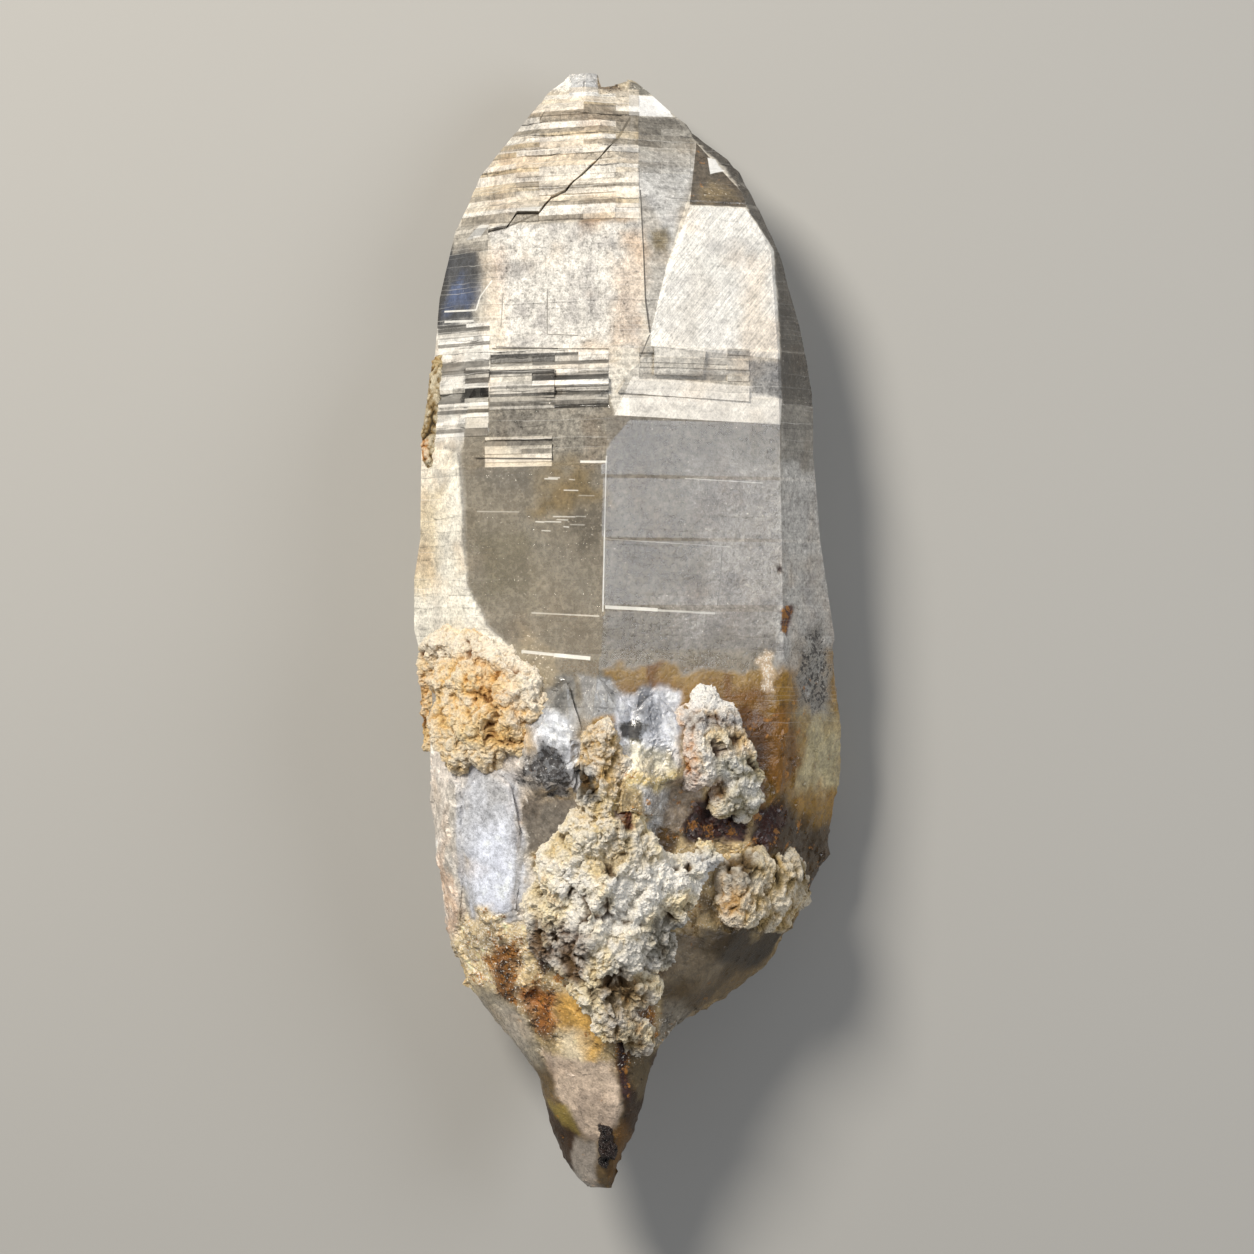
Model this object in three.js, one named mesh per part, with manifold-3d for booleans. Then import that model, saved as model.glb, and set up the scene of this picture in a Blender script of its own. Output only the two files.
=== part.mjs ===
// Himalayan phantom quartz, lying on its flat back face. Millimetres, +Z up, broken top towards +Y.
// The crystal is a run of growth sections whose faces keep their directions from tail to top, as
// the faces of a real crystal do. Flat facets are cut from it, growth plates and small quartz points
// are joined to it, and the mineral crusts sit on it.

import * as THREE from 'three';
import { ConvexGeometry } from 'three/addons/geometries/ConvexGeometry.js';
import { mergeVertices } from 'three/addons/utils/BufferGeometryUtils.js';
import Module from 'manifold-3d';

const wasm = await Module();
wasm.setup();

// Steepness of the long faces across the crystal: millimetres of drop for each millimetre of x.
const slopeOf = (degrees) => Math.tan(THREE.MathUtils.degToRad(degrees));
const LEFT_FRONT_SLOPE = slopeOf(30);
const RIGHT_FRONT_SLOPE = slopeOf(28);
const LEFT_SIDE_SLOPE = slopeOf(55);
const RIGHT_SIDE_SLOPE = slopeOf(58);
const UNDERCUT_SLOPE = slopeOf(62);

// Profiles along the crystal, as [y, value] points from tail to top, straight in between.
const PROFILES = {
  // Height of the left front face, taken at x = 0. Its close pairs of points are growth ledges.
  leftFront: [
    [-50.4, 15.6], [-48.6, 16.6], [-44, 18.1], [-39.5, 19.3], [-33.2, 22.0], [-28, 24.3], [-20, 26.2],
    [-11, 27.0], [-2.8, 27.3], [-2.3, 27.1], [0.9, 27.2], [1.2, 27.0], [14.2, 26.9], [14.5, 26.4],
    [15.6, 26.4], [15.9, 26.1], [20.3, 25.7], [20.7, 25.0], [21.9, 24.7], [22.2, 24.1], [23.2, 23.8],
    [23.6, 22.9], [24.8, 22.5], [25.2, 21.8], [36.1, 19.9], [36.5, 19.2], [38, 18.9], [50.4, 12.6],
  ],
  // Height of the right front face, taken at x = 0.
  rightFront: [
    [-50.4, 13.2], [-48.6, 14.6], [-44, 16.9], [-39.5, 18.2], [-33.2, 19.8], [-28, 21.4], [-20, 22.9],
    [-11, 23.9], [1.4, 24.8], [2.0, 24.5], [7.6, 24.6], [7.9, 24.4], [13.1, 24.5], [13.4, 24.3],
    [18.2, 24.3], [20.3, 23.6], [20.5, 23.3], [22.0, 22.9], [24.6, 23.1], [24.9, 22.7], [37.6, 20.3],
    [38, 19.7], [46.4, 15.4], [50.4, 12.7],
  ],
  leftShoulder: [
    [-50.4, -3.6], [-48.6, -4.6], [-44, -6.0], [-39.5, -7.0], [-33.2, -10.8], [-28, -12.6], [-20, -14.2],
    [-11, -15.0], [0.9, -14.4], [15.9, -14.8], [20.3, -13.2], [36.1, -12.5], [38, -10.6], [43, -9.6],
    [50.4, -5.4],
  ],
  rightShoulder: [
    [-50.4, -1.6], [-44, 0.0], [-39.5, 0.8], [-36.6, 1.8], [-33.2, 5.0], [-28, 9.6], [-20, 12.8],
    [-11, 14.0], [1.4, 13.8], [24.6, 13.4], [33.8, 12.8], [37.6, 10.9], [43.6, 6.8], [50.4, 2.2],
  ],
  // Widest points, which draw the outline seen from the front.
  left: [
    [-50.4, -3.9], [-49.5, -4.9], [-48.4, -5.9], [-44, -7.6], [-40.3, -8.4], [-37, -11.0], [-32.2, -14.9],
    [-28, -16.5], [-17.3, -17.9], [-11.6, -18.1], [-5.8, -17.7], [-0.2, -19.3], [4.4, -19.3], [8, -18.7],
    [17, -18.6], [20.3, -17.9], [30, -17.2], [36.1, -15.7], [41.2, -13.5], [47.8, -7.9], [50.4, -6.1],
  ],
  right: [
    [-50.4, -1.4], [-47.3, -0.2], [-44, 1.3], [-39.5, 2.3], [-36.6, 3.5], [-34.1, 8.2], [-30.8, 12.7],
    [-26.1, 15.8], [-20.7, 18.5], [-13, 19.4], [-9.9, 19.4], [-0.6, 18.7], [7.6, 17.4], [15.7, 16.7],
    [21.2, 16.7], [27.3, 15.5], [33.8, 13.6], [41.3, 10.0], [50.4, 2.5],
  ],
  // Height of the underside. It lies flat from the lower third to the upper ledges.
  base: [
    [-50.4, 11.2], [-44, 7.6], [-39.5, 5.2], [-33.2, 1.6], [-29, 0], [22.2, 0], [22.6, 0.5], [29, 0.9],
    [29.4, 1.7], [38, 3.0], [38.4, 3.5], [50.4, 6.6],
  ],
};

// Stretches where a profile climbs in many small ledges in place of one slope.
const LEDGE_RUNS = {
  leftFront: [{ from: 38, to: 50.4, count: 8 }],
  rightFront: [{ from: 38, to: 46.4, count: 3 }],
};
const TREAD_SHARE = 0.3;
const MIN_RING_GAP = 0.05;

// Facets that cross the growth sections, each through three points of the surface: x, y, depth.
const FACETS = {
  greyTermination: [[1.9, 25.9, 0], [0.4, 46.3, 0], [5.6, 37.7, 0]],
  smokyTermination: [[5.4, 37.7, 0], [10.8, 37.7, 0], [8.4, 42.5, 0.8]],
  paleTrapezoid: [[0.1, 46.4, 0.6], [4.2, 46.4, 0.9], [1.6, 49, 2.4]],
  leftTip: [[-6.6, 47.2, 0], [-1.8, 48.4, 0], [-4.4, 50.2, 1.6]],
};
const CUTTER_SIDE = 60;

// Chips knocked out of the broken top: centre, half sizes and a turn in degrees.
const TOP_CHIPS = [
  { centre: [-1.5, 50.7, 10], half: [1.2, 1.2, 8], turn: 14 },
  { centre: [2.6, 51.2, 10], half: [2.8, 1.6, 8], turn: -9 },
  { centre: [-7.4, 50.9, 10], half: [1.8, 1.5, 8], turn: 32 },
];

// The open fracture below the top, from the front edge down to the left shoulder.
const FRACTURE = {
  route: [
    [0.3, 46.2], [-0.8, 44.0], [-3.0, 41.6], [-4.0, 40.7], [-4.9, 40.0], [-5.6, 39.1], [-6.9, 38.6],
    [-8.0, 37.2], [-10.0, 37.3], [-10.9, 36.0], [-12.6, 35.7],
  ],
  width: 0.36,
  depth: 0.7,
};

// Growth plates that stand proud of the faces: outline corners [x, y], and how proud.
const GROWTH_PLATES = [
  {
    proud: 0.9,
    outline: [
      [-12.6, -12.4], [-10.4, -13.4], [-9.4, -18.4], [-10, -25.6], [-13.4, -26.8], [-15, -20], [-14.4, -14.2],
    ],
  },
  {
    proud: 0.7,
    outline: [
      [-15.8, -10.8], [-14.8, -14], [-15.2, -20], [-15, -27], [-15.9, -27], [-17.2, -18], [-17.4, -12],
    ],
  },
  { proud: 0.3, outline: [[-14.2, 20.6], [-6.5, 20.3], [-6.5, 22.9], [-12.4, 23.3]] },
  { proud: 0.25, outline: [[-8.5, 20.9], [-1.7, 20.8], [-1.7, 22.0], [-8.5, 22.1]] },
  { proud: 0.3, outline: [[-13.6, 15.1], [-6.7, 14.9], [-6.7, 16.2], [-12.6, 16.6]] },
  { proud: 0.25, outline: [[-12.2, 25.0], [-1.7, 24.6], [-4.4, 26.0], [-7.2, 26.2], [-12.2, 26.0]] },
  { proud: 0.4, outline: [[2.3, 22.3], [6.6, 22.3], [6.9, 24.5], [2.3, 24.8]] },
  { proud: 0.25, outline: [[-0.9, 20.6], [10.8, 20.1], [10.8, 21.4], [-0.2, 21.8]] },
];
const PLATE_ROOT = 1.2;

// Small quartz points grown on the lower front, all pointing up the crystal. turn is in degrees.
const QUARTZ_POINTS = [
  { tip: [-5.4, -4.8], length: 9.4, width: 6.0, proud: 1.7, turn: -14 },
  { tip: [-2.7, -4.1], length: 7.0, width: 4.6, proud: 1.4, turn: 12 },
  { tip: [2.2, -5.4], length: 8.4, width: 7.2, proud: 1.8, turn: 3 },
  { tip: [1.2, -10.2], length: 6.4, width: 5.0, proud: 2.6, turn: -6 },
  { tip: [5.0, -6.8], length: 6.0, width: 4.6, proud: 1.1, turn: 16 },
  { tip: [-9.4, -9.6], length: 5.6, width: 4.0, proud: 1.0, turn: 30 },
];
const POINT_PYRAMID_SHARE = 0.5;

// Hollows in the quartz: x, y, radius.
const HOLLOWS = [
  [7.4, -17.5, 1.9], [9.6, -17.3, 1.7], [12.4, -18.2, 1.8], [-6.2, -28.2, 1.7], [-4.6, -27.2, 1.2],
  [-10.9, -30.6, 1.2], [-8.4, -33.2, 1.3], [3.4, -27.8, 1.6], [5.4, -15.8, 1.1],
];

// Crust lumps: x, y, radius. They sit on the front, or at a fourth number, the height on a side.
const CRUSTS = {
  upper_left_crust: {
    colour: 0xd9b27a,
    lumps: [
      [-16.2, -1.4, 2.3], [-13.8, -1.9, 2.4], [-11.2, -3.4, 2.3], [-9.0, -4.8, 2.2], [-8.4, -6.9, 2.1],
      [-10.8, -6.2, 2.9], [-13.6, -4.8, 3.1], [-15.9, -4.8, 2.8], [-13.2, -8.3, 3.2], [-15.7, -8.2, 2.9],
      [-10.4, -9.2, 2.5], [-12.6, -10.8, 2.4], [-15.2, -11.0, 2.4], [-17.4, -1.8, 2.1, 14.8],
      [-16.9, -5.0, 2.4, 14.2], [-17.0, -8.2, 2.4, 13.8], [-16.9, -10.8, 2.1, 13.0], [-16.8, -3.4, 2.2, 11.8],
      [-16.3, -6.6, 2.5, 10.8], [-16.3, -9.6, 2.3, 10.2], [-15.0, -5.0, 2.2, 8.0], [-14.6, -8.2, 2.1, 7.0],
    ],
  },
  central_crust: {
    colour: 0xcfc2a4,
    lumps: [
      [-2.3, -9.4, 2.0, 26.4], [-2.2, -12.0, 2.4], [-2.3, -14.6, 2.7], [-0.9, -17.2, 3.1], [-4.0, -18.4, 2.9],
      [0.2, -20.2, 3.3], [-5.4, -21.2, 3.1], [-2.0, -22.8, 3.4], [2.2, -22.6, 3.0], [5.0, -21.8, 2.6],
      [7.0, -20.4, 1.9], [-7.0, -24.4, 2.8], [-3.6, -26.0, 3.2], [0.4, -25.8, 3.2], [4.0, -24.4, 2.6],
      [-7.2, -27.6, 2.2], [-4.2, -29.6, 2.4], [-0.8, -28.8, 3.2], [2.6, -28.2, 2.4], [-2.8, -31.8, 2.9],
      [0.8, -31.8, 2.7], [-1.2, -34.4, 2.6], [0.9, -36.2, 2.0],
    ],
  },
  right_crust: {
    colour: 0xd8c9ab,
    lumps: [
      [7.2, -7.0, 2.2], [5.8, -8.6, 2.3], [8.2, -9.0, 2.8], [6.6, -11.2, 3.1], [9.0, -11.4, 2.8],
      [5.8, -13.2, 1.9], [10.4, -13.0, 2.3], [9.2, -14.8, 2.4], [10.8, -15.4, 1.9],
    ],
  },
  lower_right_crust: {
    colour: 0xc9b48c,
    lumps: [
      [9.9, -24.7, 2.9], [9.8, -22.4, 2.5], [11.4, -21.2, 2.3], [13.0, -22.4, 2.8], [12.3, -24.9, 2.9],
      [14.3, -24.0, 2.5], [13.5, -26.0, 2.1], [14.6, -21.6, 2.1], [15.2, -23.8, 2.1, 10.6],
      [14.4, -25.4, 1.8, 9.6],
    ],
  },
  left_rim_crust: {
    colour: 0xb79552,
    lumps: [
      [-17.2, 24.2, 0.8], [-17.3, 22.9, 0.9], [-17.4, 21.5, 0.9], [-17.5, 20.2, 0.9], [-17.6, 18.8, 1.0],
      [-17.8, 17.4, 1.1], [-17.9, 16.1, 1.0], [-17.9, 15.0, 0.8],
    ],
  },
  tail_iron_oxide: {
    colour: 0x2a211d,
    lumps: [[-2.1, -45.1, 1.1], [-1.7, -46.5, 1.2], [-2.3, -47.6, 1.0]],
  },
};
// The crusts stay this far off the quartz, in each of these directions.
const CRUST_GAP = 0.32;
const GAP_DIRECTIONS = [[0, 0, 1], [-1, 0, 0.4], [1, 0, 0.4], [0, 1, 0.4], [0, -1, 0.4]];
const BRIDGE_SHARE = 0.8;
const LUMP_ROUGHNESS = 0.28;
const BIG_LUMP = 3;
const LUMP_STRETCH = new THREE.Vector3(1, 1.12, 0.7);
const LIFT_SHARE = 0.22;
const AXIS_HEIGHT = 10;

// A repeatable stream of numbers from 0 to 1, so that every build gives the same stone.
function seededRandom(seed) {
  let state = seed;
  return () => {
    state = (state * 16807) % 2147483647;
    return state / 2147483647;
  };
}

const random = seededRandom(6471);

// The points of a profile, with each ledge run drawn out as short treads between level growth.
function drawnProfile(name) {
  const points = PROFILES[name];
  const straight = (y) => {
    const i = Math.max(1, points.findIndex(([place]) => place >= y));
    const [[y0, v0], [y1, v1]] = [points[i - 1], points[i]];
    return v0 + ((v1 - v0) * (y - y0)) / (y1 - y0);
  };
  const drawn = [...points];
  for (const run of LEDGE_RUNS[name] ?? []) {
    const pitch = (run.to - run.from) / run.count;
    const tread = pitch * TREAD_SHARE;
    for (let k = 0; k < run.count; k += 1) {
      const start = run.from + pitch * (k + random() * (1 - TREAD_SHARE));
      drawn.push([start, straight(run.from + pitch * k)]);
      drawn.push([start + tread, straight(run.from + pitch * (k + 1))]);
    }
  }
  return drawn.sort((a, b) => a[0] - b[0]);
}

const DRAWN = Object.fromEntries(Object.keys(PROFILES).map((name) => [name, drawnProfile(name)]));

function profileAt(name, y) {
  const points = DRAWN[name];
  const found = points.findIndex(([place]) => place >= y);
  const i = THREE.MathUtils.clamp(found, 1, points.length - 1);
  const [[y0, v0], [y1, v1]] = [points[i - 1], points[i]];
  const share = y1 > y0 ? THREE.MathUtils.clamp((y - y0) / (y1 - y0), 0, 1) : 1;
  return v0 + (v1 - v0) * share;
}

// Height of the front of the crystal over a point, before any facet is cut.
function surfaceHeight(x, y) {
  const leftFront = profileAt('leftFront', y);
  const rightFront = profileAt('rightFront', y);
  const leftShoulder = profileAt('leftShoulder', y);
  const rightShoulder = profileAt('rightShoulder', y);
  if (x < leftShoulder) {
    const shoulderHeight = leftFront + LEFT_FRONT_SLOPE * leftShoulder;
    return shoulderHeight - LEFT_SIDE_SLOPE * (leftShoulder - x);
  }
  if (x > rightShoulder) {
    const shoulderHeight = rightFront - RIGHT_FRONT_SLOPE * rightShoulder;
    return shoulderHeight - RIGHT_SIDE_SLOPE * (x - rightShoulder);
  }
  return Math.min(leftFront + LEFT_FRONT_SLOPE * x, rightFront - RIGHT_FRONT_SLOPE * x);
}

// Corners of a section, from the left of the base over the front to the right of the base.
function sectionCorners(y) {
  const leftFront = profileAt('leftFront', y);
  const rightFront = profileAt('rightFront', y);
  const edge = (rightFront - leftFront) / (LEFT_FRONT_SLOPE + RIGHT_FRONT_SLOPE);
  const [left, right] = [profileAt('left', y), profileAt('right', y)];
  const [leftShoulder, rightShoulder] = [profileAt('leftShoulder', y), profileAt('rightShoulder', y)];
  const base = profileAt('base', y);
  const leftHeight = surfaceHeight(left, y);
  const rightHeight = surfaceHeight(right, y);
  return [
    [left + (leftHeight - base) / UNDERCUT_SLOPE, base],
    [left, leftHeight],
    [leftShoulder, surfaceHeight(leftShoulder, y)],
    [edge, surfaceHeight(edge, y)],
    [rightShoulder, surfaceHeight(rightShoulder, y)],
    [right, rightHeight],
    [right - (rightHeight - base) / UNDERCUT_SLOPE, base],
  ];
}

// Every y where some profile bends.
function ringPlaces() {
  const places = Object.values(DRAWN).flat().map(([y]) => y).sort((a, b) => a - b);
  const kept = [places[0]];
  for (const y of places) {
    if (y - kept[kept.length - 1] > MIN_RING_GAP) kept.push(y);
  }
  return kept;
}

function growthGeometry() {
  const rings = ringPlaces().map((y) => sectionCorners(y).map(([x, z]) => [x, y, z]));
  const sides = rings[0].length;
  const index = [];
  for (let r = 0; r + 1 < rings.length; r += 1) {
    for (let i = 0; i < sides; i += 1) {
      const a = r * sides + i;
      const b = r * sides + ((i + 1) % sides);
      index.push(a, b, a + sides, b, b + sides, a + sides);
    }
  }
  const last = (rings.length - 1) * sides;
  for (let i = 1; i + 1 < sides; i += 1) {
    index.push(0, i + 1, i);
    index.push(last, last + i, last + i + 1);
  }
  const geometry = new THREE.BufferGeometry();
  geometry.setAttribute('position', new THREE.Float32BufferAttribute(rings.flat(2), 3));
  geometry.setIndex(index);
  return geometry;
}

// The same shape with one vertex at each corner, which a solid needs.
function welded(geometry) {
  const bare = geometry.clone();
  bare.deleteAttribute('normal');
  bare.deleteAttribute('uv');
  return mergeVertices(bare, 1e-4);
}

function toSolid(geometry) {
  const shape = welded(geometry);
  return new wasm.Manifold(new wasm.Mesh({
    numProp: 3,
    vertProperties: new Float32Array(shape.attributes.position.array),
    triVerts: new Uint32Array(shape.index.array),
  }));
}

function toGeometry(solid) {
  const mesh = solid.getMesh();
  const geometry = new THREE.BufferGeometry();
  geometry.setAttribute('position', new THREE.BufferAttribute(new Float32Array(mesh.vertProperties), 3));
  geometry.setIndex(new THREE.BufferAttribute(new Uint32Array(mesh.triVerts), 1));
  return geometry;
}

function hull(points) {
  return toSolid(new ConvexGeometry(points.map(([x, y, z]) => new THREE.Vector3(x, y, z))));
}

// A block that takes away everything outside the plane through three points of the surface.
function facetCutter(points) {
  const [a, b, c] = points.map(([x, y, depth]) => new THREE.Vector3(x, y, surfaceHeight(x, y) - depth));
  const outward = new THREE.Vector3().crossVectors(b.clone().sub(a), c.clone().sub(a)).normalize();
  if (outward.z < 0) outward.negate();
  const block = new THREE.BoxGeometry(CUTTER_SIDE, CUTTER_SIDE, CUTTER_SIDE);
  block.translate(0, 0, CUTTER_SIDE / 2);
  block.applyQuaternion(new THREE.Quaternion().setFromUnitVectors(new THREE.Vector3(0, 0, 1), outward));
  block.translate(a.x, a.y, a.z);
  return toSolid(block);
}

function topChip({ centre, half, turn }) {
  const block = new THREE.BoxGeometry(2 * half[0], 2 * half[1], 2 * half[2]);
  block.rotateZ(THREE.MathUtils.degToRad(turn));
  return toSolid(block.translate(...centre));
}

function growthPlate({ proud, outline }) {
  const top = outline.map(([x, y]) => [x, y, surfaceHeight(x, y) + proud]);
  const root = outline.map(([x, y]) => [x, y, surfaceHeight(x, y) - PLATE_ROOT]);
  return hull([...top, ...root]);
}

// A six-sided point lying on the front, pointing up the crystal.
function quartzPoint({ tip, length, width, proud, turn }) {
  const [tipX, tipY] = tip;
  const angle = THREE.MathUtils.degToRad(turn);
  const along = new THREE.Vector2(Math.sin(angle), -Math.cos(angle));
  const across = new THREE.Vector2(-along.y, along.x);
  const ring = (distance, halfWidth) => [-1, -0.5, 0.5, 1].flatMap((side) => {
    const x = tipX + along.x * distance + across.x * side * halfWidth;
    const y = tipY + along.y * distance + across.y * side * halfWidth;
    const raised = Math.abs(side) < 1 ? proud : proud * 0.2;
    return [[x, y, surfaceHeight(x, y) + raised], [x, y, surfaceHeight(x, y) - PLATE_ROOT]];
  });
  const apex = [tipX, tipY, surfaceHeight(tipX, tipY) + proud * 0.5];
  const pyramidFoot = ring(length * POINT_PYRAMID_SHARE, width / 2);
  return hull([apex, ...pyramidFoot, ...ring(length, width / 2)]);
}

function lumpCentre([x, y, radius, sideHeight]) {
  return new THREE.Vector3(x, y, sideHeight ?? surfaceHeight(x, y) + LIFT_SHARE * radius);
}

// Straight out of the crystal at a lump: from the front face, or from the axis for one on a side.
function outwardAt([x, y, , sideHeight]) {
  if (sideHeight !== undefined) return new THREE.Vector3(x, 0, sideHeight - AXIS_HEIGHT).normalize();
  const drop = surfaceHeight(x - 0.5, y) - surfaceHeight(x + 0.5, y);
  return new THREE.Vector3(drop, 0, 1).normalize();
}

// A V-shaped groove along a route on the front.
function fractureGroove({ route, width, depth }) {
  const cross = ([x, y]) => {
    const z = surfaceHeight(x, y);
    const rim = [y - width / 2, y + width / 2].flatMap((side) => [[x, side, z], [x, side, z + depth]]);
    return [...rim, [x, y, z - depth]];
  };
  return joined(route.slice(1).map((end, i) => hull([...cross(route[i]), ...cross(end)])));
}

// A rough lump, flattened against the crystal.
function roughLump(lump, seed) {
  const roughen = seededRandom(seed);
  const radius = lump[2];
  const shape = welded(new THREE.IcosahedronGeometry(radius, radius < BIG_LUMP ? 0 : 1));
  const turn = new THREE.Quaternion().setFromUnitVectors(new THREE.Vector3(0, 0, 1), outwardAt(lump));
  const place = shape.attributes.position;
  const point = new THREE.Vector3();
  for (let i = 0; i < place.count; i += 1) {
    point.fromBufferAttribute(place, i);
    point.multiplyScalar(1 - LUMP_ROUGHNESS * roughen()).multiply(LUMP_STRETCH);
    point.applyQuaternion(turn).add(lumpCentre(lump));
    place.setXYZ(i, point.x, point.y, point.z);
  }
  return toSolid(shape);
}

// The material between a lump and the nearest one before it, so that a crust is one body.
function bridgeToNearest(lumps, i) {
  const centre = lumpCentre(lumps[i]);
  const distance = (lump) => lumpCentre(lump).distanceTo(centre);
  const nearest = lumps.slice(0, i).reduce((best, lump) => (distance(lump) < distance(best) ? lump : best));
  const ends = [lumps[i], nearest].flatMap((lump) => {
    const { x, y, z } = lumpCentre(lump);
    const reach = BRIDGE_SHARE * lump[2];
    return [-reach, reach].flatMap((d) => [[x + d, y, z], [x, y + d, z], [x, y, z + d]]);
  });
  return hull(ends);
}

function joined(solids) {
  return solids.reduce((whole, solid) => whole.add(solid));
}

function quartzCrystal() {
  let crystal = toSolid(growthGeometry());
  for (const points of Object.values(FACETS)) crystal = crystal.subtract(facetCutter(points));
  crystal = joined([crystal, ...GROWTH_PLATES.map(growthPlate), ...QUARTZ_POINTS.map(quartzPoint)]);
  crystal = crystal.subtract(joined([fractureGroove(FRACTURE), ...TOP_CHIPS.map(topChip)]));
  return crystal.subtract(joined(HOLLOWS.map((hollow, i) => roughLump(hollow, 77 + i))));
}

// A cut can leave crumbs loose beside the main body, and they fall away.
function withoutCrumbs(solid) {
  return solid.decompose().reduce((main, piece) => (piece.volume() > main.volume() ? piece : main));
}

// The lumps and bridges that stand outside the quartz.
function crustOn(crystal, lumps, seed) {
  const solids = lumps.map((lump, i) => roughLump(lump, seed + 37 * i));
  for (let i = 1; i < lumps.length; i += 1) solids.push(bridgeToNearest(lumps, i));
  const widened = GAP_DIRECTIONS.map(([x, y, z]) => {
    const shift = new THREE.Vector3(x, y, z).setLength(CRUST_GAP);
    return crystal.translate([shift.x, shift.y, shift.z]);
  });
  return withoutCrumbs(joined(solids).subtract(joined([crystal, ...widened])));
}

function subPart(name, solid, colour, roughness) {
  const material = new THREE.MeshStandardMaterial({ color: colour, roughness, metalness: 0 });
  material.flatShading = true;
  const mesh = new THREE.Mesh(toGeometry(solid), material);
  mesh.name = name;
  return mesh;
}

const phantomQuartz = new THREE.Group();
const crystal = quartzCrystal();
phantomQuartz.add(subPart('quartz_crystal', crystal, 0xb9b4ac, 0.15));
Object.entries(CRUSTS).forEach(([name, { colour, lumps }], i) => {
  phantomQuartz.add(subPart(name, crustOn(crystal, lumps, 1009 + 911 * i), colour, 0.85));
});

export default phantomQuartz;
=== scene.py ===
import itertools
import math
import random

import bmesh
import bpy
import numpy as np
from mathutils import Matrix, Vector
from mathutils.bvhtree import BVHTree


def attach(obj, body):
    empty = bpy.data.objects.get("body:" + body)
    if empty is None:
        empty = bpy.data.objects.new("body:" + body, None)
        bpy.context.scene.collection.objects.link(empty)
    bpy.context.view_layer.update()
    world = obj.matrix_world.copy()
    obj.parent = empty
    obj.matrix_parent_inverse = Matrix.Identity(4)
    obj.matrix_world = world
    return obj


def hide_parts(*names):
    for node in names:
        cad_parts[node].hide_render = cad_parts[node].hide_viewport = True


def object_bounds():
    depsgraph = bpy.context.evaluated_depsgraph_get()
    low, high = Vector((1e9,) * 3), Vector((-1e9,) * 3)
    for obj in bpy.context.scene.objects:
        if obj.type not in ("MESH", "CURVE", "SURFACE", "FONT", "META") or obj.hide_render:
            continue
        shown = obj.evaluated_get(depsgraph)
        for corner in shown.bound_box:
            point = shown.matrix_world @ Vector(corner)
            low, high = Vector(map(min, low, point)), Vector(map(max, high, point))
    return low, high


# Looks of a phantom quartz crystal lying on its back. Blender works in metres. Every place and size
# below is in millimetres unless its name says otherwise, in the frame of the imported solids:
# +Y towards the broken top, +X to the right, +Z towards the camera.
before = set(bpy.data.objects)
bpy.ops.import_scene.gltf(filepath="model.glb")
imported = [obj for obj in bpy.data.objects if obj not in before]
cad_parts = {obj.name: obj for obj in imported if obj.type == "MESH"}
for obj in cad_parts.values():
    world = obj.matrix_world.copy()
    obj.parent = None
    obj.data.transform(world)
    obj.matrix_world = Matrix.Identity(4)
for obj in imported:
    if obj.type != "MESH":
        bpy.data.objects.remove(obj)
cad_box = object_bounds()
MM = 0.001
BOX_LOW, BOX_HIGH = (np.array(corner) / MM for corner in cad_box)
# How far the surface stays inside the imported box.
BOX_MARGIN = 0.001

# The photograph's frame: its width in pixels, the size of one pixel on the crystal, and where its middle is.
PHOTO_PIXELS = 1254
PIXEL_SIZE = 0.09
VIEW_CENTRE = (-0.09, 0.05)
LENS_MM = 135
SENSOR_MM = 36
FOCUS_HEIGHT = 13.0

# Studio. The lights are discs aimed at one point, with their power in watts.
FLOOR_HALF_SIZE = 900
FLOOR_DROP = 0.15
FLOOR_COLOUR = "aaa8a3"
LIGHT_AIM = (0, 0, 10)
LIGHTS = {
    "key": dict(place=(-170, 210, 320), size=130, power=1.9, colour=(1, 0.95, 0.87)),
    "fill": dict(place=(260, 40, 260), size=200, power=0.4, colour=(0.9, 0.94, 1)),
}
SKY_COLOUR = (0.93, 0.95, 1, 1)
SKY_STRENGTH = 0.25

# Longest mesh edges: before the cuts, on the broken lower front, on the smooth upper front, on the sides
# and on the back. RISER is half the width of a ledge's riser.
COARSE_EDGE = 1.6
LOWER_EDGE = 0.45
UPPER_EDGE = 0.62
SIDE_EDGE = 0.95
BACK_EDGE = 2.5
RISER = 0.04
# The broken lower front lies below this y.
LOWER_TOP = -1
# Upward part of a face's normal. Above the first it is front and above the second a ledge's tread, below the
# third it is a side and below the last the back.
FRONT_FACING = 0.15
TREAD_FACING = 0.1
SIDE_FACING = 0.2
BACK_FACING = -0.5
# Points nearer than these are one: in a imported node, on a cut, and after all cuts.
SAME_POINT = 0.001
CUT_TOLERANCE = 0.0004
WELD = 0.003
# Faces that turn less than this, in radians, are joined before the cuts, and edges sharper than so many
# degrees stay crisp.
FLAT_TURN = 0.004
SHARP_DEGREES = 14
# Points lower than this lie on the resting face and keep their height.
RESTING_BELOW = 0.02

# Worn steps: how many rounds of rounding, and how near to the crystal's widest places it fades out.
MELT_ROUNDS = 16
WIDEST_KEPT = 1.5

# Relief of the quartz, as height, size and seed: the lumps and the facets of the broken parts, the slight
# waves everywhere and the hollows of the dark patches. BROKEN_DROP is how far the broken parts sink.
LUMPS = (0.36, 3.4, 11)
FACETS = ((0.34, 2.6, 23), (0.2, 1.1, 29), (0.1, 0.55, 31))
WAVES = (0.02, 1.2, 37)
HOLLOWS = (0.5, 1.3, 41)
BROKEN_DROP = 0.1
ZONE_SEED = 51

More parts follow.
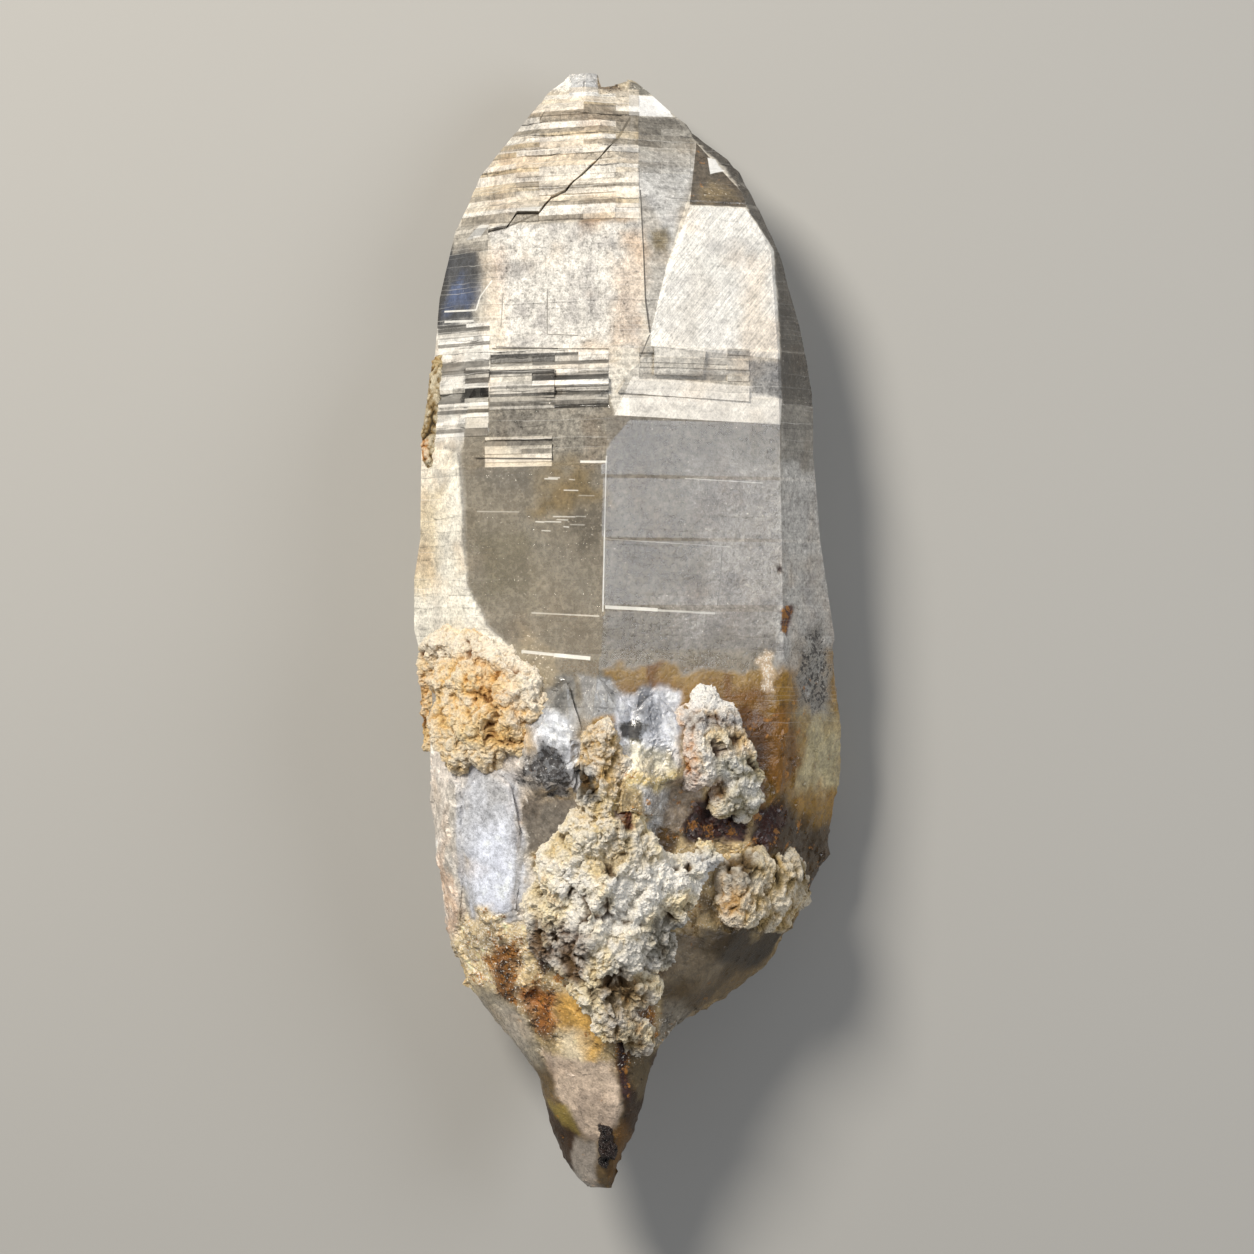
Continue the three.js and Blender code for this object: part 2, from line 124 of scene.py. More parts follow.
# Colour of the quartz beyond its zones: frosty clouds, whose noise is size, seed and octaves, an even
# mottling as height, size, seed and octaves, the tones of single facets, and how the ledges' tones vary.
CLOUDS = (
    dict(tint="a8a6ab", noise=(1.9, 171, 5), low=-0.1, high=0.5, strength=0.5),
    dict(tint="f2cfa4", noise=(3.0, 181, 4), low=0.0, high=0.55, strength=0.3),
)
MOTTLE = (0.22, 1.4, 71, 4)
FACET_TONE = 0.3
FACET_TONE_SEED = 77
LEDGE_STRAY = (0.25, 3.0, 73)

# What lies on the quartz, the white of the painted highlight lines in its ledges, and the stains of the
# crusts from dark to bright.
LEDGE_HIGHLIGHT_WHITE = "f8f5ee"
RUST = ("451c06", "d8953a")
HOLLOW_DARK = "1d140f"
GRIT_WHITE = "f3ecdf"
SPECK_DARK = "34312e"
CRUST_STAIN = ("7c4a16", "d59a4a")
QUARTZ_IOR = 1.544
ABSORPTION_COLOUR = (0.86, 0.82, 0.74, 1)
ABSORPTION_DENSITY = 10

# Growth ledges on the front: where they lie, the x places at which they break, how many cross the
# stretch, how high they stand, how strongly they are toned, and the tones of their strips: colour, clearness.
# The light and dark tones of the strips are partly painted reflection off the steps.
LEDGES = {
    "crown": dict(
        y=(36.4, 49.0), breaks=(-15.2, -10.1, -8.0, -4.0, -1.1, 1.0), count=27, height=0.14, share=0.6,
        tones=(("ebe3d5", 0.1), ("e2d6c2", 0.15), ("fbf8f0", 0.05), ("cbb997", 0.2), ("908573", 0.3))),
    "left_strip": dict(
        y=(17.0, 27.4), breaks=(-17.3, -14.6, -12.4), count=26, height=0.16, share=0.75,
        tones=(("fdfbf5", 0.05), ("2b2825", 0.3), ("fbf8f0", 0.05), ("d9d4ca", 0.1), ("807b74", 0.4))),
    "upper_left_strip": dict(
        y=(33.9, 36.6), breaks=(-16.0, -14.0, -12.6), count=6, height=0.16,
        tones=(("e6e0d4", 0.1), ("66625c", 0.3), ("b5afa4", 0.3))),
    "steps": dict(
        y=(19.3, 24.4), breaks=(-12.3, -8.5, -6.5, -4.4, -1.7), count=14, height=0.26, share=0.85,
        tones=(("fbf8f0", 0.05), ("211e1b", 0.4), ("c9c4ba", 0.3), ("e2dccf", 0.1), ("8e8a83", 0.5))),
    "bars": dict(
        y=(14.2, 16.9), breaks=(-12.7, -9.4, -6.7), count=7, height=0.22, share=0.6,
        tones=(("f4ede0", 0.05), ("eae2d2", 0.1), ("7c776e", 0.3), ("e2dac9", 0.1))),
    "right_steps": dict(
        y=(21.9, 24.8), breaks=(1.0, 2.3, 6.7, 8.8, 10.8), count=6, height=0.24,
        tones=(("f1ebe0", 0.05), ("e2dacb", 0.1), ("8d8880", 0.3), ("d2ccc1", 0.2))),
    "grey_facet": dict(
        y=(40.6, 46.2), breaks=(0.9, 3.0, 5.6), count=9, height=0.07,
        tones=(("c0bcb4", 0.3), ("a6a29a", 0.4), ("8b8780", 0.4), ("d0ccc3", 0.25))),
}
LEDGE_SEED = 300
# How far a ledge's line strays from even spacing, how low its blocks go, as a share of the height, and
# how many of them carry on at the height of the block beside them.
LINE_STRAY = 0.32
LOWEST_BLOCK = -0.4
CARRY_ON_SHARE = 0.62


def srgb(code):
    """Linear colour of a hex code such as e8dcc8."""
    parts = np.array([int(code[i:i + 2], 16) for i in (0, 2, 4)]) / 255
    return np.where(parts <= 0.04045, parts / 12.92, ((parts + 0.055) / 1.055) ** 2.4)


# Noise, the same on every run. The table is indexed by mixing the three cell numbers.
TABLE_SIZE = 4096
MIXERS = (73856093, 19349663, 83492791)
OCTAVE_SHIFT = 17.3
FARTHEST = 9.0
STEEPEST_TILT = 0.8


def table_key(cell):
    return (cell[:, 0] * MIXERS[0] ^ cell[:, 1] * MIXERS[1] ^ cell[:, 2] * MIXERS[2]) & (TABLE_SIZE - 1)


def value_noise(points, seed):
    """Smooth noise from -1 to 1, one bump for each unit of length."""
    table = np.random.default_rng(seed).uniform(-1, 1, TABLE_SIZE)
    cell = np.floor(points).astype(np.int64)
    t = points - cell
    t = t * t * (3 - 2 * t)
    total = np.zeros(len(points))
    for corner in itertools.product((0, 1), repeat=3):
        weight = np.prod(np.where(corner, t, 1 - t), axis=1)
        total += weight * table[table_key(cell + corner)]
    return total


def cloud_noise(points, size, seed, octaves=3):
    """Several sizes of noise on each other, the largest about size across, from -1 to 1."""
    total = np.zeros(len(points))
    for k in range(octaves):
        total += value_noise(points * (2 ** k / size) + OCTAVE_SHIFT * k, seed + k) / 2 ** k
    return total / (2 - 2 ** (1 - octaves))


def cell_noise(points, size, seed):
    """Distance to the nearest of many scattered points, in units of size, its key and the way to it."""
    offsets = np.random.default_rng(seed).uniform(0, 1, (TABLE_SIZE, 3))
    scaled = points / size
    cell = np.floor(scaled).astype(np.int64)
    nearest = np.full(len(points), FARTHEST)
    key = np.zeros(len(points), np.int64)
    towards = np.zeros((len(points), 3))
    for corner in itertools.product((-1, 0, 1), repeat=3):
        at = cell + corner
        at_key = table_key(at)
        apart = at + offsets[at_key] - scaled
        distance = np.linalg.norm(apart, axis=1)
        closer = distance < nearest
        key = np.where(closer, at_key, key)
        towards = np.where(closer[:, None], apart, towards)
        nearest = np.where(closer, distance, nearest)
    return nearest, key, towards


def chipped(points, size, seed):
    """Height of a surface broken into small tilted facets, about -0.5 to 0.5."""
    tilts = np.random.default_rng(seed + 1).uniform(-STEEPEST_TILT, STEEPEST_TILT, (TABLE_SIZE, 3))
    _, key, towards = cell_noise(points, size, seed)
    return np.sum(tilts[key] * towards, axis=1)


def relief_of(noise, points, height, size, seed):
    """Height that one kind of noise gives at each point."""
    return height * noise(points, size, seed)


def smooth_step(low, high, value):
    t = np.clip((value - low) / (high - low), 0, 1)
    return t * t * (3 - 2 * t)


def inside_depth(points, outline):
    """How far each x, y point lies inside an outline, negative outside."""
    corners = np.array(outline, float)
    x, y = points[:, 0], points[:, 1]
    nearest = np.full(len(points), np.inf)
    inside = np.zeros(len(points), bool)
    for (ax, ay), (bx, by) in zip(corners, np.roll(corners, -1, axis=0)):
        share = ((x - ax) * (bx - ax) + (y - ay) * (by - ay)) / ((bx - ax) ** 2 + (by - ay) ** 2)
        share = np.clip(share, 0, 1)
        nearest = np.minimum(nearest, np.hypot(x - ax - share * (bx - ax), y - ay - share * (by - ay)))
        if by != ay:
            inside ^= ((ay > y) != (by > y)) & (x < (bx - ax) * (y - ay) / (by - ay) + ax)
    return np.where(inside, nearest, -nearest)


class Ledges:
    """A stretch of the front parted into strips by level cuts and into blocks by upright ones."""

    def __init__(self, seed, y, breaks, count, height, tones, share=0.45):
        rng = np.random.default_rng(seed)
        pitch = (y[1] - y[0]) / count
        stray = rng.uniform(-LINE_STRAY, LINE_STRAY, count - 1) * pitch
        self.rows = np.concatenate([[y[0]], y[0] + pitch * np.arange(1, count) + stray, [y[1]]])
        self.columns = np.array(breaks, float)
        shape = (len(self.columns) + 1, count + 2)
        rise = rng.uniform(LOWEST_BLOCK, 1, shape) * height
        tone = rng.integers(0, len(tones), shape)
        carries_on = rng.uniform(0, 1, shape) < CARRY_ON_SHARE
        for j in range(2, shape[0] - 1):
            rise[j] = np.where(carries_on[j], rise[j - 1], rise[j])
            tone[j] = np.where(carries_on[j], tone[j - 1], tone[j])
        rise[0], rise[-1], rise[:, 0], rise[:, -1] = 0, 0, 0, 0
        tone[0], tone[-1], tone[:, 0], tone[:, -1] = -1, -1, -1, -1
        self.rise, self.tone, self.share = rise, tone, share
        self.tones = np.array([[*srgb(code), clear] for code, clear in tones])

    def block_place(self, value, cuts):
        """Block number of each value, running smoothly into the next across a riser."""
        place = np.zeros(len(value))
        for cut in cuts:
            place += np.clip((value - cut + RISER) / (2 * RISER), 0, 1)
        return place

    def height_at(self, points):
        u = self.block_place(points[:, 0], self.columns)
        v = self.block_place(points[:, 1], self.rows)
        i, j = np.floor(u).astype(int), np.floor(v).astype(int)
        i1, j1 = np.minimum(i + 1, self.rise.shape[0] - 1), np.minimum(j + 1, self.rise.shape[1] - 1)
        s, t = u - i, v - j
        low = self.rise[i, j] * (1 - s) + self.rise[i1, j] * s
        high = self.rise[i, j1] * (1 - s) + self.rise[i1, j1] * s
        return low * (1 - t) + high * t

    def tone_at(self, points):
        """Tone number at each point, -1 outside the stretch."""
        i = np.searchsorted(self.columns, points[:, 0])
        j = np.searchsorted(self.rows, points[:, 1])
        return self.tone[i, j]


# Mesh helpers

def new_object(name, data):
    made = bpy.data.objects.new(name, data)
    bpy.context.scene.collection.objects.link(made)
    return made


def packed_copy(name):
    """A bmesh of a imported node, in millimetres, with shared corners joined."""
    bm = bmesh.new()
    bm.from_mesh(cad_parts[name].data)
    bmesh.ops.scale(bm, vec=(1 / MM, 1 / MM, 1 / MM), verts=bm.verts)
    bmesh.ops.remove_doubles(bm, verts=bm.verts, dist=SAME_POINT)
    return bm


def front_faces(bm, low, high):
    """Faces turned to the camera that reach into a box in x, y."""
    found = []
    for f in bm.faces:
        if f.normal.z > FRONT_FACING:
            xs = [v.co.x for v in f.verts]
            ys = [v.co.y for v in f.verts]
            if max(xs) > low[0] and min(xs) < high[0] and max(ys) > low[1] and min(ys) < high[1]:
                found.append(f)
    return found


def cut_by_plane(bm, faces, point, normal):
    """Cuts the faces where a plane crosses them, and gives back the faces that they have become."""
    geometry = list({item for f in faces for item in (*f.verts, *f.edges)}) + list(faces)
    made = bmesh.ops.bisect_plane(bm, geom=geometry, dist=CUT_TOLERANCE, plane_co=point, plane_no=normal)
    return [item for item in made["geom"] if isinstance(item, bmesh.types.BMFace)]


def cut_ledges(bm, ledges):
    """Cuts a riser's two edges along each line between the blocks of a stretch."""
    low = (ledges.columns[0] - RISER, ledges.rows[0] - RISER)
    high = (ledges.columns[-1] + RISER, ledges.rows[-1] + RISER)
    faces = front_faces(bm, low, high)
    for shift in (-RISER, RISER):
        for x in ledges.columns:
            faces = cut_by_plane(bm, faces, (x + shift, 0, 0), (1, 0, 0))
        for y in ledges.rows:
            faces = cut_by_plane(bm, faces, (0, y + shift, 0), (0, 1, 0))


def cut_outline(bm, outline):
    """Cuts the front along each side of an outline, so that a colour can end there."""
    for (ax, ay), (bx, by) in zip(outline, [*outline[1:], outline[0]]):
        low = (min(ax, bx) - RISER, min(ay, by) - RISER)
        high = (max(ax, bx) + RISER, max(ay, by) + RISER)
        cut_by_plane(bm, front_faces(bm, low, high), (ax, ay, 0), (by - ay, ax - bx, 0))


def triangulate(bm):
    bmesh.ops.triangulate(bm, faces=[f for f in bm.faces if len(f.verts) > 3])


def refined(bm, limit_at, rounds=12):
    """A mesh of a triangulated bmesh in which no edge is longer than its face's limit.

    Only a face's longest edge is halved in a round, so the triangles stay well shaped.
    """
    bm.verts.index_update()
    places = np.array([v.co for v in bm.verts])
    faces = np.array([[v.index for v in f.verts] for f in bm.faces])
    for _ in range(rounds):
        corners = places[faces]
        sides = np.linalg.norm(corners - np.roll(corners, -1, axis=1), axis=2)
        normals = np.cross(corners[:, 1] - corners[:, 0], corners[:, 2] - corners[:, 0])
        normals /= np.maximum(np.linalg.norm(normals, axis=1), 1e-12)[:, None]
        longest = np.argmax(sides, axis=1)
        too_long = sides.max(axis=1) > limit_at(corners.mean(axis=1), normals)
        if not too_long.any():
            break
        ends = np.sort(np.stack([faces, np.roll(faces, -1, axis=1)], axis=2), axis=2)
        keys, edge = np.unique(ends[..., 0] * len(places) + ends[..., 1], return_inverse=True)
        edge = edge.reshape(-1, 3)
        halved = np.zeros(len(keys), bool)
        halved[edge[np.flatnonzero(too_long), longest[too_long]]] = True
        middle = np.full(len(keys), -1)
        middle[halved] = len(places) + np.arange(halved.sum())
        first, second = np.divmod(keys[halved], len(places))
        places = np.concatenate([places, (places[first] + places[second]) / 2])
        faces = split_faces(faces, middle[edge])
    mesh = bpy.data.meshes.new("refined")
    mesh.from_pydata(places, [], faces)
    return mesh


def split_faces(faces, middles):
    """Triangles parted at the middles of their halved sides; -1 marks a side that stays whole."""
    made = [faces[np.all(middles < 0, axis=1)]]
    count = np.sum(middles >= 0, axis=1)
    for turn in range(3):
        a, b, c = np.roll(faces, -turn, axis=1).T
        p, q, r = np.roll(middles, -turn, axis=1).T
        one = (count == 1) & (p >= 0)
        made += [np.stack(tri, axis=1)[one] for tri in ((a, p, c), (p, b, c))]
        two = (count == 2) & (r < 0)
        made += [np.stack(tri, axis=1)[two] for tri in ((p, b, q), (a, p, q), (a, q, c))]
    a, b, c = faces.T
    p, q, r = middles.T
    made += [np.stack(tri, axis=1)[count == 3] for tri in ((a, p, r), (p, b, q), (r, q, c), (p, q, r))]
    return np.concatenate(made)


def rows_of(items, field, width, kind=np.float32):
    """One row of numbers for each of a mesh's items, such as its points or its faces."""
    values = np.empty(len(items) * width, kind)
    items.foreach_get(field, values)
    return values.reshape(-1, width)


def vertex_places(mesh):
    return rows_of(mesh.vertices, "co", 3).astype(float)


def set_places(mesh, places):
    mesh.vertices.foreach_set("co", places.astype(np.float32).ravel())
    mesh.update()


def inside_box(places):
    return np.clip(places, BOX_LOW, BOX_HIGH - BOX_MARGIN)


def corner_points(mesh):
    """Number of the point at each face corner."""
    return rows_of(mesh.loops, "vertex_index", 1, np.int32)[:, 0]


# How far a face corner's colour is read from the corner towards the face's middle.
CORNER_PULL = 0.12


def corner_places(mesh):
    """Each face corner's place, drawn a little towards its face's middle, with the face's normal."""
    places = vertex_places(mesh)[corner_points(mesh)]
    middles = np.repeat(rows_of(mesh.polygons, "center", 3), 3, axis=0)
    normals = np.repeat(rows_of(mesh.polygons, "normal", 3), 3, axis=0).astype(float)
    return places * (1 - CORNER_PULL) + middles * CORNER_PULL, normals


def set_corner_values(mesh, name, *columns):
    """Paints up to four columns of numbers on the face corners."""
    attribute = mesh.attributes.new(name, "FLOAT_COLOR", "CORNER")
    attribute.data.foreach_set("color", np.column_stack(columns).astype(np.float32).ravel())


def finished_piece(mesh, name, material, slot, *nodes):
    """An object in metres that rides on the part and stands for its nodes."""
    set_places(mesh, vertex_places(mesh) * MM)
    mesh.materials.clear()
    mesh.materials.append(material)
    piece = new_object(name, mesh)
    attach(piece, "root")
    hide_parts(*nodes)
    return piece


# Quartz: the zones of its front, painted in this order. tint is a hex colour, soft the width of a zone's
# edge, warp how far that edge wanders, share its strength. The mesh is cut along a crisp zone's outline.
# The finish values run from 0 to 1: clear (how much light passes), rough (roughness), strata (fine ledge
# lines), hatch (slanting scratches), specks (dark dots), frost (patchy whiteness), rust, dark and crumb
# (patches of brown, of near black and of white grit), relief (how broken the surface is), melt (how far its
# steps are rounded). A few go a little past 1.
FINISH = ("clear", "rough", "strata", "hatch", "specks", "frost", "rust", "dark", "crumb", "relief", "melt")
START = dict(tint="cfcac0", clear=0.5, rough=0.25, strata=0.25, frost=0.4, crumb=0.06)


def zone(outline, tint, soft=0.5, warp=0.5, share=1.0, crisp=False, **finish):
    tint = srgb(tint)
    return dict(outline=outline, tint=tint, soft=soft, warp=warp, share=share, crisp=crisp, finish=finish)


def facet(outline, tint, **finish):
    """A crisp zone with straight edges, such as a flat crystal face."""
    return zone(outline, tint, soft=0.02, warp=0, crisp=True, **finish)


def line(start, end, width, tint="fbf9f2", clear=0.05, share=0.85):
    """A thin straight streak as a crisp zone."""
    (ax, ay), (bx, by) = start, end
    length = math.hypot(bx - ax, by - ay)
    dx, dy = (ay - by) / length * width / 2, (bx - ax) / length * width / 2
    outline = [(ax + dx, ay + dy), (bx + dx, by + dy), (bx - dx, by - dy), (ax - dx, ay - dy)]
    bare = dict(frost=0, strata=0, crumb=0)
    return zone(outline, tint, soft=0.01, warp=0, share=share, crisp=True, clear=clear, **bare)


UPPER_ZONES = [
    # frosted upper half
    zone([(-20, 16), (-20, 53), (20, 53), (20, 16)], "dcd5c7", soft=1.5, warp=1, clear=0.15, rough=0.38,
         strata=0.45, frost=0.8, relief=0.02),
    zone([(-16, 36.5), (-16, 53), (1, 53), (0.3, 36.5)], "e0d6c5", soft=1.2, warp=1.5, clear=0.12,
         rough=0.42, strata=0.75, frost=0.9),
    zone([(-12.5, 36.2), (-11, 25), (1.2, 24.6), (1.2, 36.2)], "d8d4cc", warp=0.2, clear=0.12, rough=0.36,
         strata=0.3, frost=1.25, hatch=0.25, dark=0.03),
    zone([(-12, 41), (-9, 44), (-6, 44.2), (-3.4, 41.4), (-6, 39.4), (-9.4, 38.6)], "cdb797", soft=2.4,
         warp=2.6, share=0.5),
    zone([(-17.4, 16.6), (-17.6, 28), (-14, 28), (-12.4, 24.6), (-12.4, 16.8)], "f4f0e7", soft=0.8, warp=0.8,
         strata=1.2, clear=0.15, frost=0.5),
    zone([(-12.4, 19.2), (-12.4, 24.6), (-1.6, 24.6), (-1.6, 19.2)], "efeae0", soft=0.3, warp=0.4,
         strata=1.0, clear=0.2, frost=0.6),
    # broken tip
    zone([(-8, 47.6), (-8, 52), (6, 52), (3, 49.4), (-0.5, 48.9), (-2.6, 48)], "cbbfa6", soft=0.5, warp=0.9,
         relief=0.5, strata=0.1, dark=0.22, crumb=0.3),
    zone([(-7, 48.8), (-6.6, 50.4), (-5.2, 50.3), (-5.2, 48.4)], "f2efe8", soft=0.3, warp=0.7, relief=0.5,
         crumb=0.6),
    zone([(-5.4, 47.9), (-5.4, 50.6), (-2.8, 50.6), (-2.6, 48)], "d5d6d6", soft=0.05, warp=0.1, crisp=True,
         clear=0.3, rough=0.15, relief=0.03, dark=0, strata=0.2),
    zone([(-2.7, 48.6), (-1.2, 48.4), (-0.4, 49.6), (-2.6, 50.4)], "6f4f2c", soft=0.4, warp=1.0, share=0.6,
         dark=0.5),
    # clear window
    zone([(-14.8, 15.5), (-14.4, 8), (-14.2, 4), (-12.2, 0), (-9.8, -2), (-9.6, -5.5), (0, -7), (12.4, -7),
          (13.1, -2), (13.3, 6), (13.6, 18.2), (-1.2, 18.6), (-1.6, 20.4), (-14.2, 20.4)], "dcd1bc",
         soft=0.25, warp=0.25, clear=0.74, rough=0.06, strata=0.12, frost=0.4, crumb=0.1, relief=0),
    zone([(-1.9, -2), (-1.9, 18.6), (13.6, 18.2), (13.3, 6), (13.1, -2)], "c6beb0", soft=0.3, warp=0.1,
         clear=0.68, rough=0.08, frost=0.5),
    zone([(4, -1), (6, 6), (5, 13), (8, 16), (14, 13), (14, -1)], "cfc9c1", soft=3, warp=2.5, share=0.8,
         clear=0.52, rough=0.14, crumb=0.16, frost=0.7),
    zone([(-7.6, 10), (-7, 14.4), (-2.3, 14.2), (-2.4, 10.4)], "a98d52", soft=2, warp=2.4, share=0.7,
         clear=0.6),
    zone([(-5.6, 6.3), (-5.2, 10.1), (-2.3, 10), (-2.3, 6.8)], "4d463b", soft=1.4, warp=2.2, share=0.6,
         clear=0.6, crumb=0.3),
    zone([(-13.5, 2.5), (-14, 9), (-8, 8), (-9, 2)], "a39a7c", soft=3, warp=2.5, share=0.5, clear=0.7),
    zone([(-12, 16.6), (-12, 19.4), (-2, 20.2), (-2, 14), (-6, 15)], "b0aba0", soft=1.2, warp=1.2, share=0.8,
         clear=0.55, frost=1.0, strata=0.6, dark=0.12),
    zone([(-0.6, 13.4), (-0.8, 17.4), (2.6, 17.6), (3.4, 14)], "a39c92", soft=2, warp=2.4, share=0.6),
    zone([(-1, 4.6), (-1, 7), (7, 6.8), (6.4, 3.2), (1, 2.4)], "a59c8d", soft=2.4, warp=2.4, share=0.55),
    zone([(4.4, 9.4), (5, 12), (8.4, 11.6), (8.2, 9)], "9a9085", soft=1.8, warp=2.4, share=0.5),
    zone([(-9.6, 9), (-8.6, 9.4), (-2.2, 2.6), (-2.4, 1.2), (-3.6, 1.6)], "ddd6c6", soft=1.6, warp=1.4,
         share=0.4),
    zone([(-13, 12.4), (-12.6, 14.6), (-8.6, 14.4), (-9, 12)], "b7b1a6", soft=1.4, warp=2, share=0.6,
         crumb=0.25),
    # right margin beside the window
    zone([(13.3, 11), (13.4, 24), (19, 27), (19, 11)], "989389", soft=1.2, warp=1.6, clear=0.3, rough=0.2,
         specks=0.3, frost=0.8),
    zone([(13.1, -6), (13.4, 15), (20, 15), (21, -6)], "c9c5be", soft=1.6, warp=2.0, clear=0.25, rough=0.22,
         specks=0.25, frost=0.9, hatch=0.3),
    # cream frosted face down the left side
    zone([(-20, 16.9), (-15.2, 15.6), (-14.7, 8), (-14.4, 4), (-12.5, 0), (-10, -2), (-11, -4), (-21, -4)],
         "f6f1e2", soft=0.2, warp=0.3, clear=0.06, rough=0.42, strata=0.4, frost=0.9, hatch=0.2),
    zone([(-20, 12), (-17, 13), (-16.6, 7), (-18, 3), (-20, 4)], "e0c99c", soft=2, warp=1.8, share=0.6),
    zone([(-20, 27), (-16.9, 27.4), (-15.8, 36), (-18, 36)], "4a4846", soft=0.4, warp=0.3, clear=0.5,
         rough=0.15),
    # bright ledges and facets of the right side
    facet([(0.4, 22.1), (10.8, 21.5), (13.8, 21), (13.6, 18.1), (-1.2, 18.6)], "f1ebe0", clear=0.06,
          rough=0.36, strata=0.3, hatch=0.4, frost=0.5),
    facet([(5.6, 37.6), (10.5, 37.6), (13.1, 34), (13.4, 29), (13.6, 24), (2, 24.8), (2, 26), (3.4, 32)],
          "f7f3ea", clear=0.06, rough=0.36, strata=0.14, hatch=0.9, frost=0.7),
    zone([(10, 24), (10.4, 33), (13, 33), (13.4, 24)], "ead6bc", soft=2.4, warp=2.2, share=0.5),
    zone([(3, 25), (4.4, 30), (6, 33), (8, 30), (6, 25)], "d8d0c4", soft=2.4, warp=2.2, share=0.5),
    zone([(10.9, 20.4), (10.9, 23.8), (13.9, 23.8), (13.9, 20.4)], "aaa7a2", soft=0.4, warp=0.7, clear=0.3,
         specks=0.3, frost=1),
    # grey facet between the front edge and the right face
    facet([(1.1, 39), (1.4, 33), (1.6, 29), (2, 26), (3.4, 32), (5.1, 37.5), (5.9, 40), (6.1, 43.7),
           (4.3, 46.3), (0.3, 46.3), (-0.2, 42)], "c6c1b8", clear=0.3, rough=0.24, strata=0.4, frost=0.8),
    zone([(0.6, 46.2), (4.3, 46.2), (6, 43.9), (5.7, 42.7), (0.4, 42.9)], "8d8474", soft=0.5, warp=0.5,
         share=0.75),
    zone([(0.6, 41.4), (5.9, 41.2), (5.6, 39.6), (4.4, 35.6), (3.6, 33), (3, 36), (1.3, 38.8)], "d8d8d6",
         soft=0.8, warp=0.6, share=0.7),
    zone([(2.2, 33.0), (2.3, 35.4), (3.6, 35.6), (4, 33.8), (3.4, 32.6)], "7b6b45", soft=0.8, warp=1.4,
         share=0.8, dark=0.2),
    # painted shade: the dark tint of this face, which is turned away from the light
    facet([(6.2, 43.9), (10.4, 39), (10.6, 37.7), (5.5, 37.7)], "71675a", clear=0.45, rough=0.14, strata=0.1,
          specks=0.3, frost=1, dark=0.1, rust=0.1),
    zone([(6.6, 38.2), (7.4, 40.2), (10, 39.6), (10, 38)], "8f7d5c", soft=1.4, warp=1.8, share=0.8,
         clear=0.2, crumb=0.35),
    facet([(7.2, 42.5), (7.9, 42.3), (8.2, 41.7), (8.7, 41.2), (7.9, 41), (7.4, 40.8)], "f4f3ef", clear=0.1,
          frost=0.2),
    # painted shade: the dark grey tint of the right side face along the outline; its specks and dark patches
    # are its own
    zone([(2.9, 50), (4.9, 46.2), (6.2, 43.9), (8.8, 41.6), (10.4, 39), (10.6, 37.6), (13.1, 34), (13.5, 29),
          (13.8, 20), (18, 20), (17, 30), (15, 38), (10, 46), (5, 51)], "6f6a62", soft=0.1, warp=0.15,
         clear=0.55, rough=0.14, strata=0.25, specks=0.5, frost=0.9, crumb=0.16, dark=0.12),
    zone([(4.2, 46.9), (4.2, 47.8), (5, 47.8), (5, 46.9)], "c8a56a", soft=0.5, warp=0.6, clear=0.3),
    facet([(0.1, 48.4), (2.9, 48.4), (4.1, 46.4), (0.1, 46.3)], "f8f7f4", clear=0.05, strata=0.1, frost=0.3),
    zone([(0.1, 49.8), (3, 49.8), (2.9, 48.5), (0.1, 48.5)], "9b988d", soft=0.1, warp=0.1, clear=0.4,
         rough=0.2),
    # warm bands of the upper left face
    zone([(-9.5, 47), (-6, 47.5), (-2, 48), (-1, 46.9), (-5, 46.5), (-8.8, 46.6)], "a5825a", warp=1.6,
         share=0.45),
    zone([(-9, 45.3), (-8.4, 46.3), (-1.8, 46.1), (-2, 45)], "94755a", soft=0.9, warp=1.6, share=0.4),
    zone([(-14, 40.6), (-12, 43), (-7, 43.6), (-4, 42), (-8, 41)], "b9976b", soft=1.8, warp=2.4, share=0.45),
    zone([(-4.2, 36.4), (-4.2, 38.0), (-1, 38.8), (1, 38.2), (1, 36.4)], "946c3a", soft=0.9, warp=1.8,
         share=0.55),
    zone([(-1.2, 24.6), (-1.6, 30), (-1.0, 35), (1.4, 35.5), (1.4, 24.6)], "cdb193", soft=1.6, warp=1.8,
         share=0.5),
    zone([(-12.6, 30), (-12.6, 34.5), (-10.6, 34), (-10.8, 29)], "cfb9a4", soft=1.6, warp=1.6, share=0.45),
    # bright shard and grey gap along the fracture
    facet([(-14.7, 35.1), (-13.3, 35.3), (-12.5, 36.3), (-13.3, 36.5)], "fbfaf6", frost=0),
    zone([(-9.9, 37.2), (-8.2, 37.2), (-7.9, 37.8), (-9.6, 37.9)], "8b8984", soft=0.05, warp=0.1, frost=0.2),
    # dark blue sheen
    zone([(-16.7, 34.6), (-13.6, 34.2), (-13.2, 31.4), (-14.2, 28.6), (-14, 27.4), (-17, 27.2)], "4a4e56",
         soft=1.0, warp=1.0, share=0.95, clear=0.45, rough=0.14, strata=0.4, frost=0.7),
    zone([(-16.4, 30.9), (-14.6, 31.6), (-13.9, 30.2), (-15, 28.6), (-16.6, 28.9)], "5a6f9c", soft=1.6,
         warp=1.6, share=0.65, clear=0.3, rough=0.14),
    zone([(-14.8, 20.2), (-14.8, 23.2), (-12.3, 23.1), (-12.3, 20.2)], "2b2927", soft=0.3, warp=0.4,
         clear=0.3, rough=0.15, frost=0.5),
]

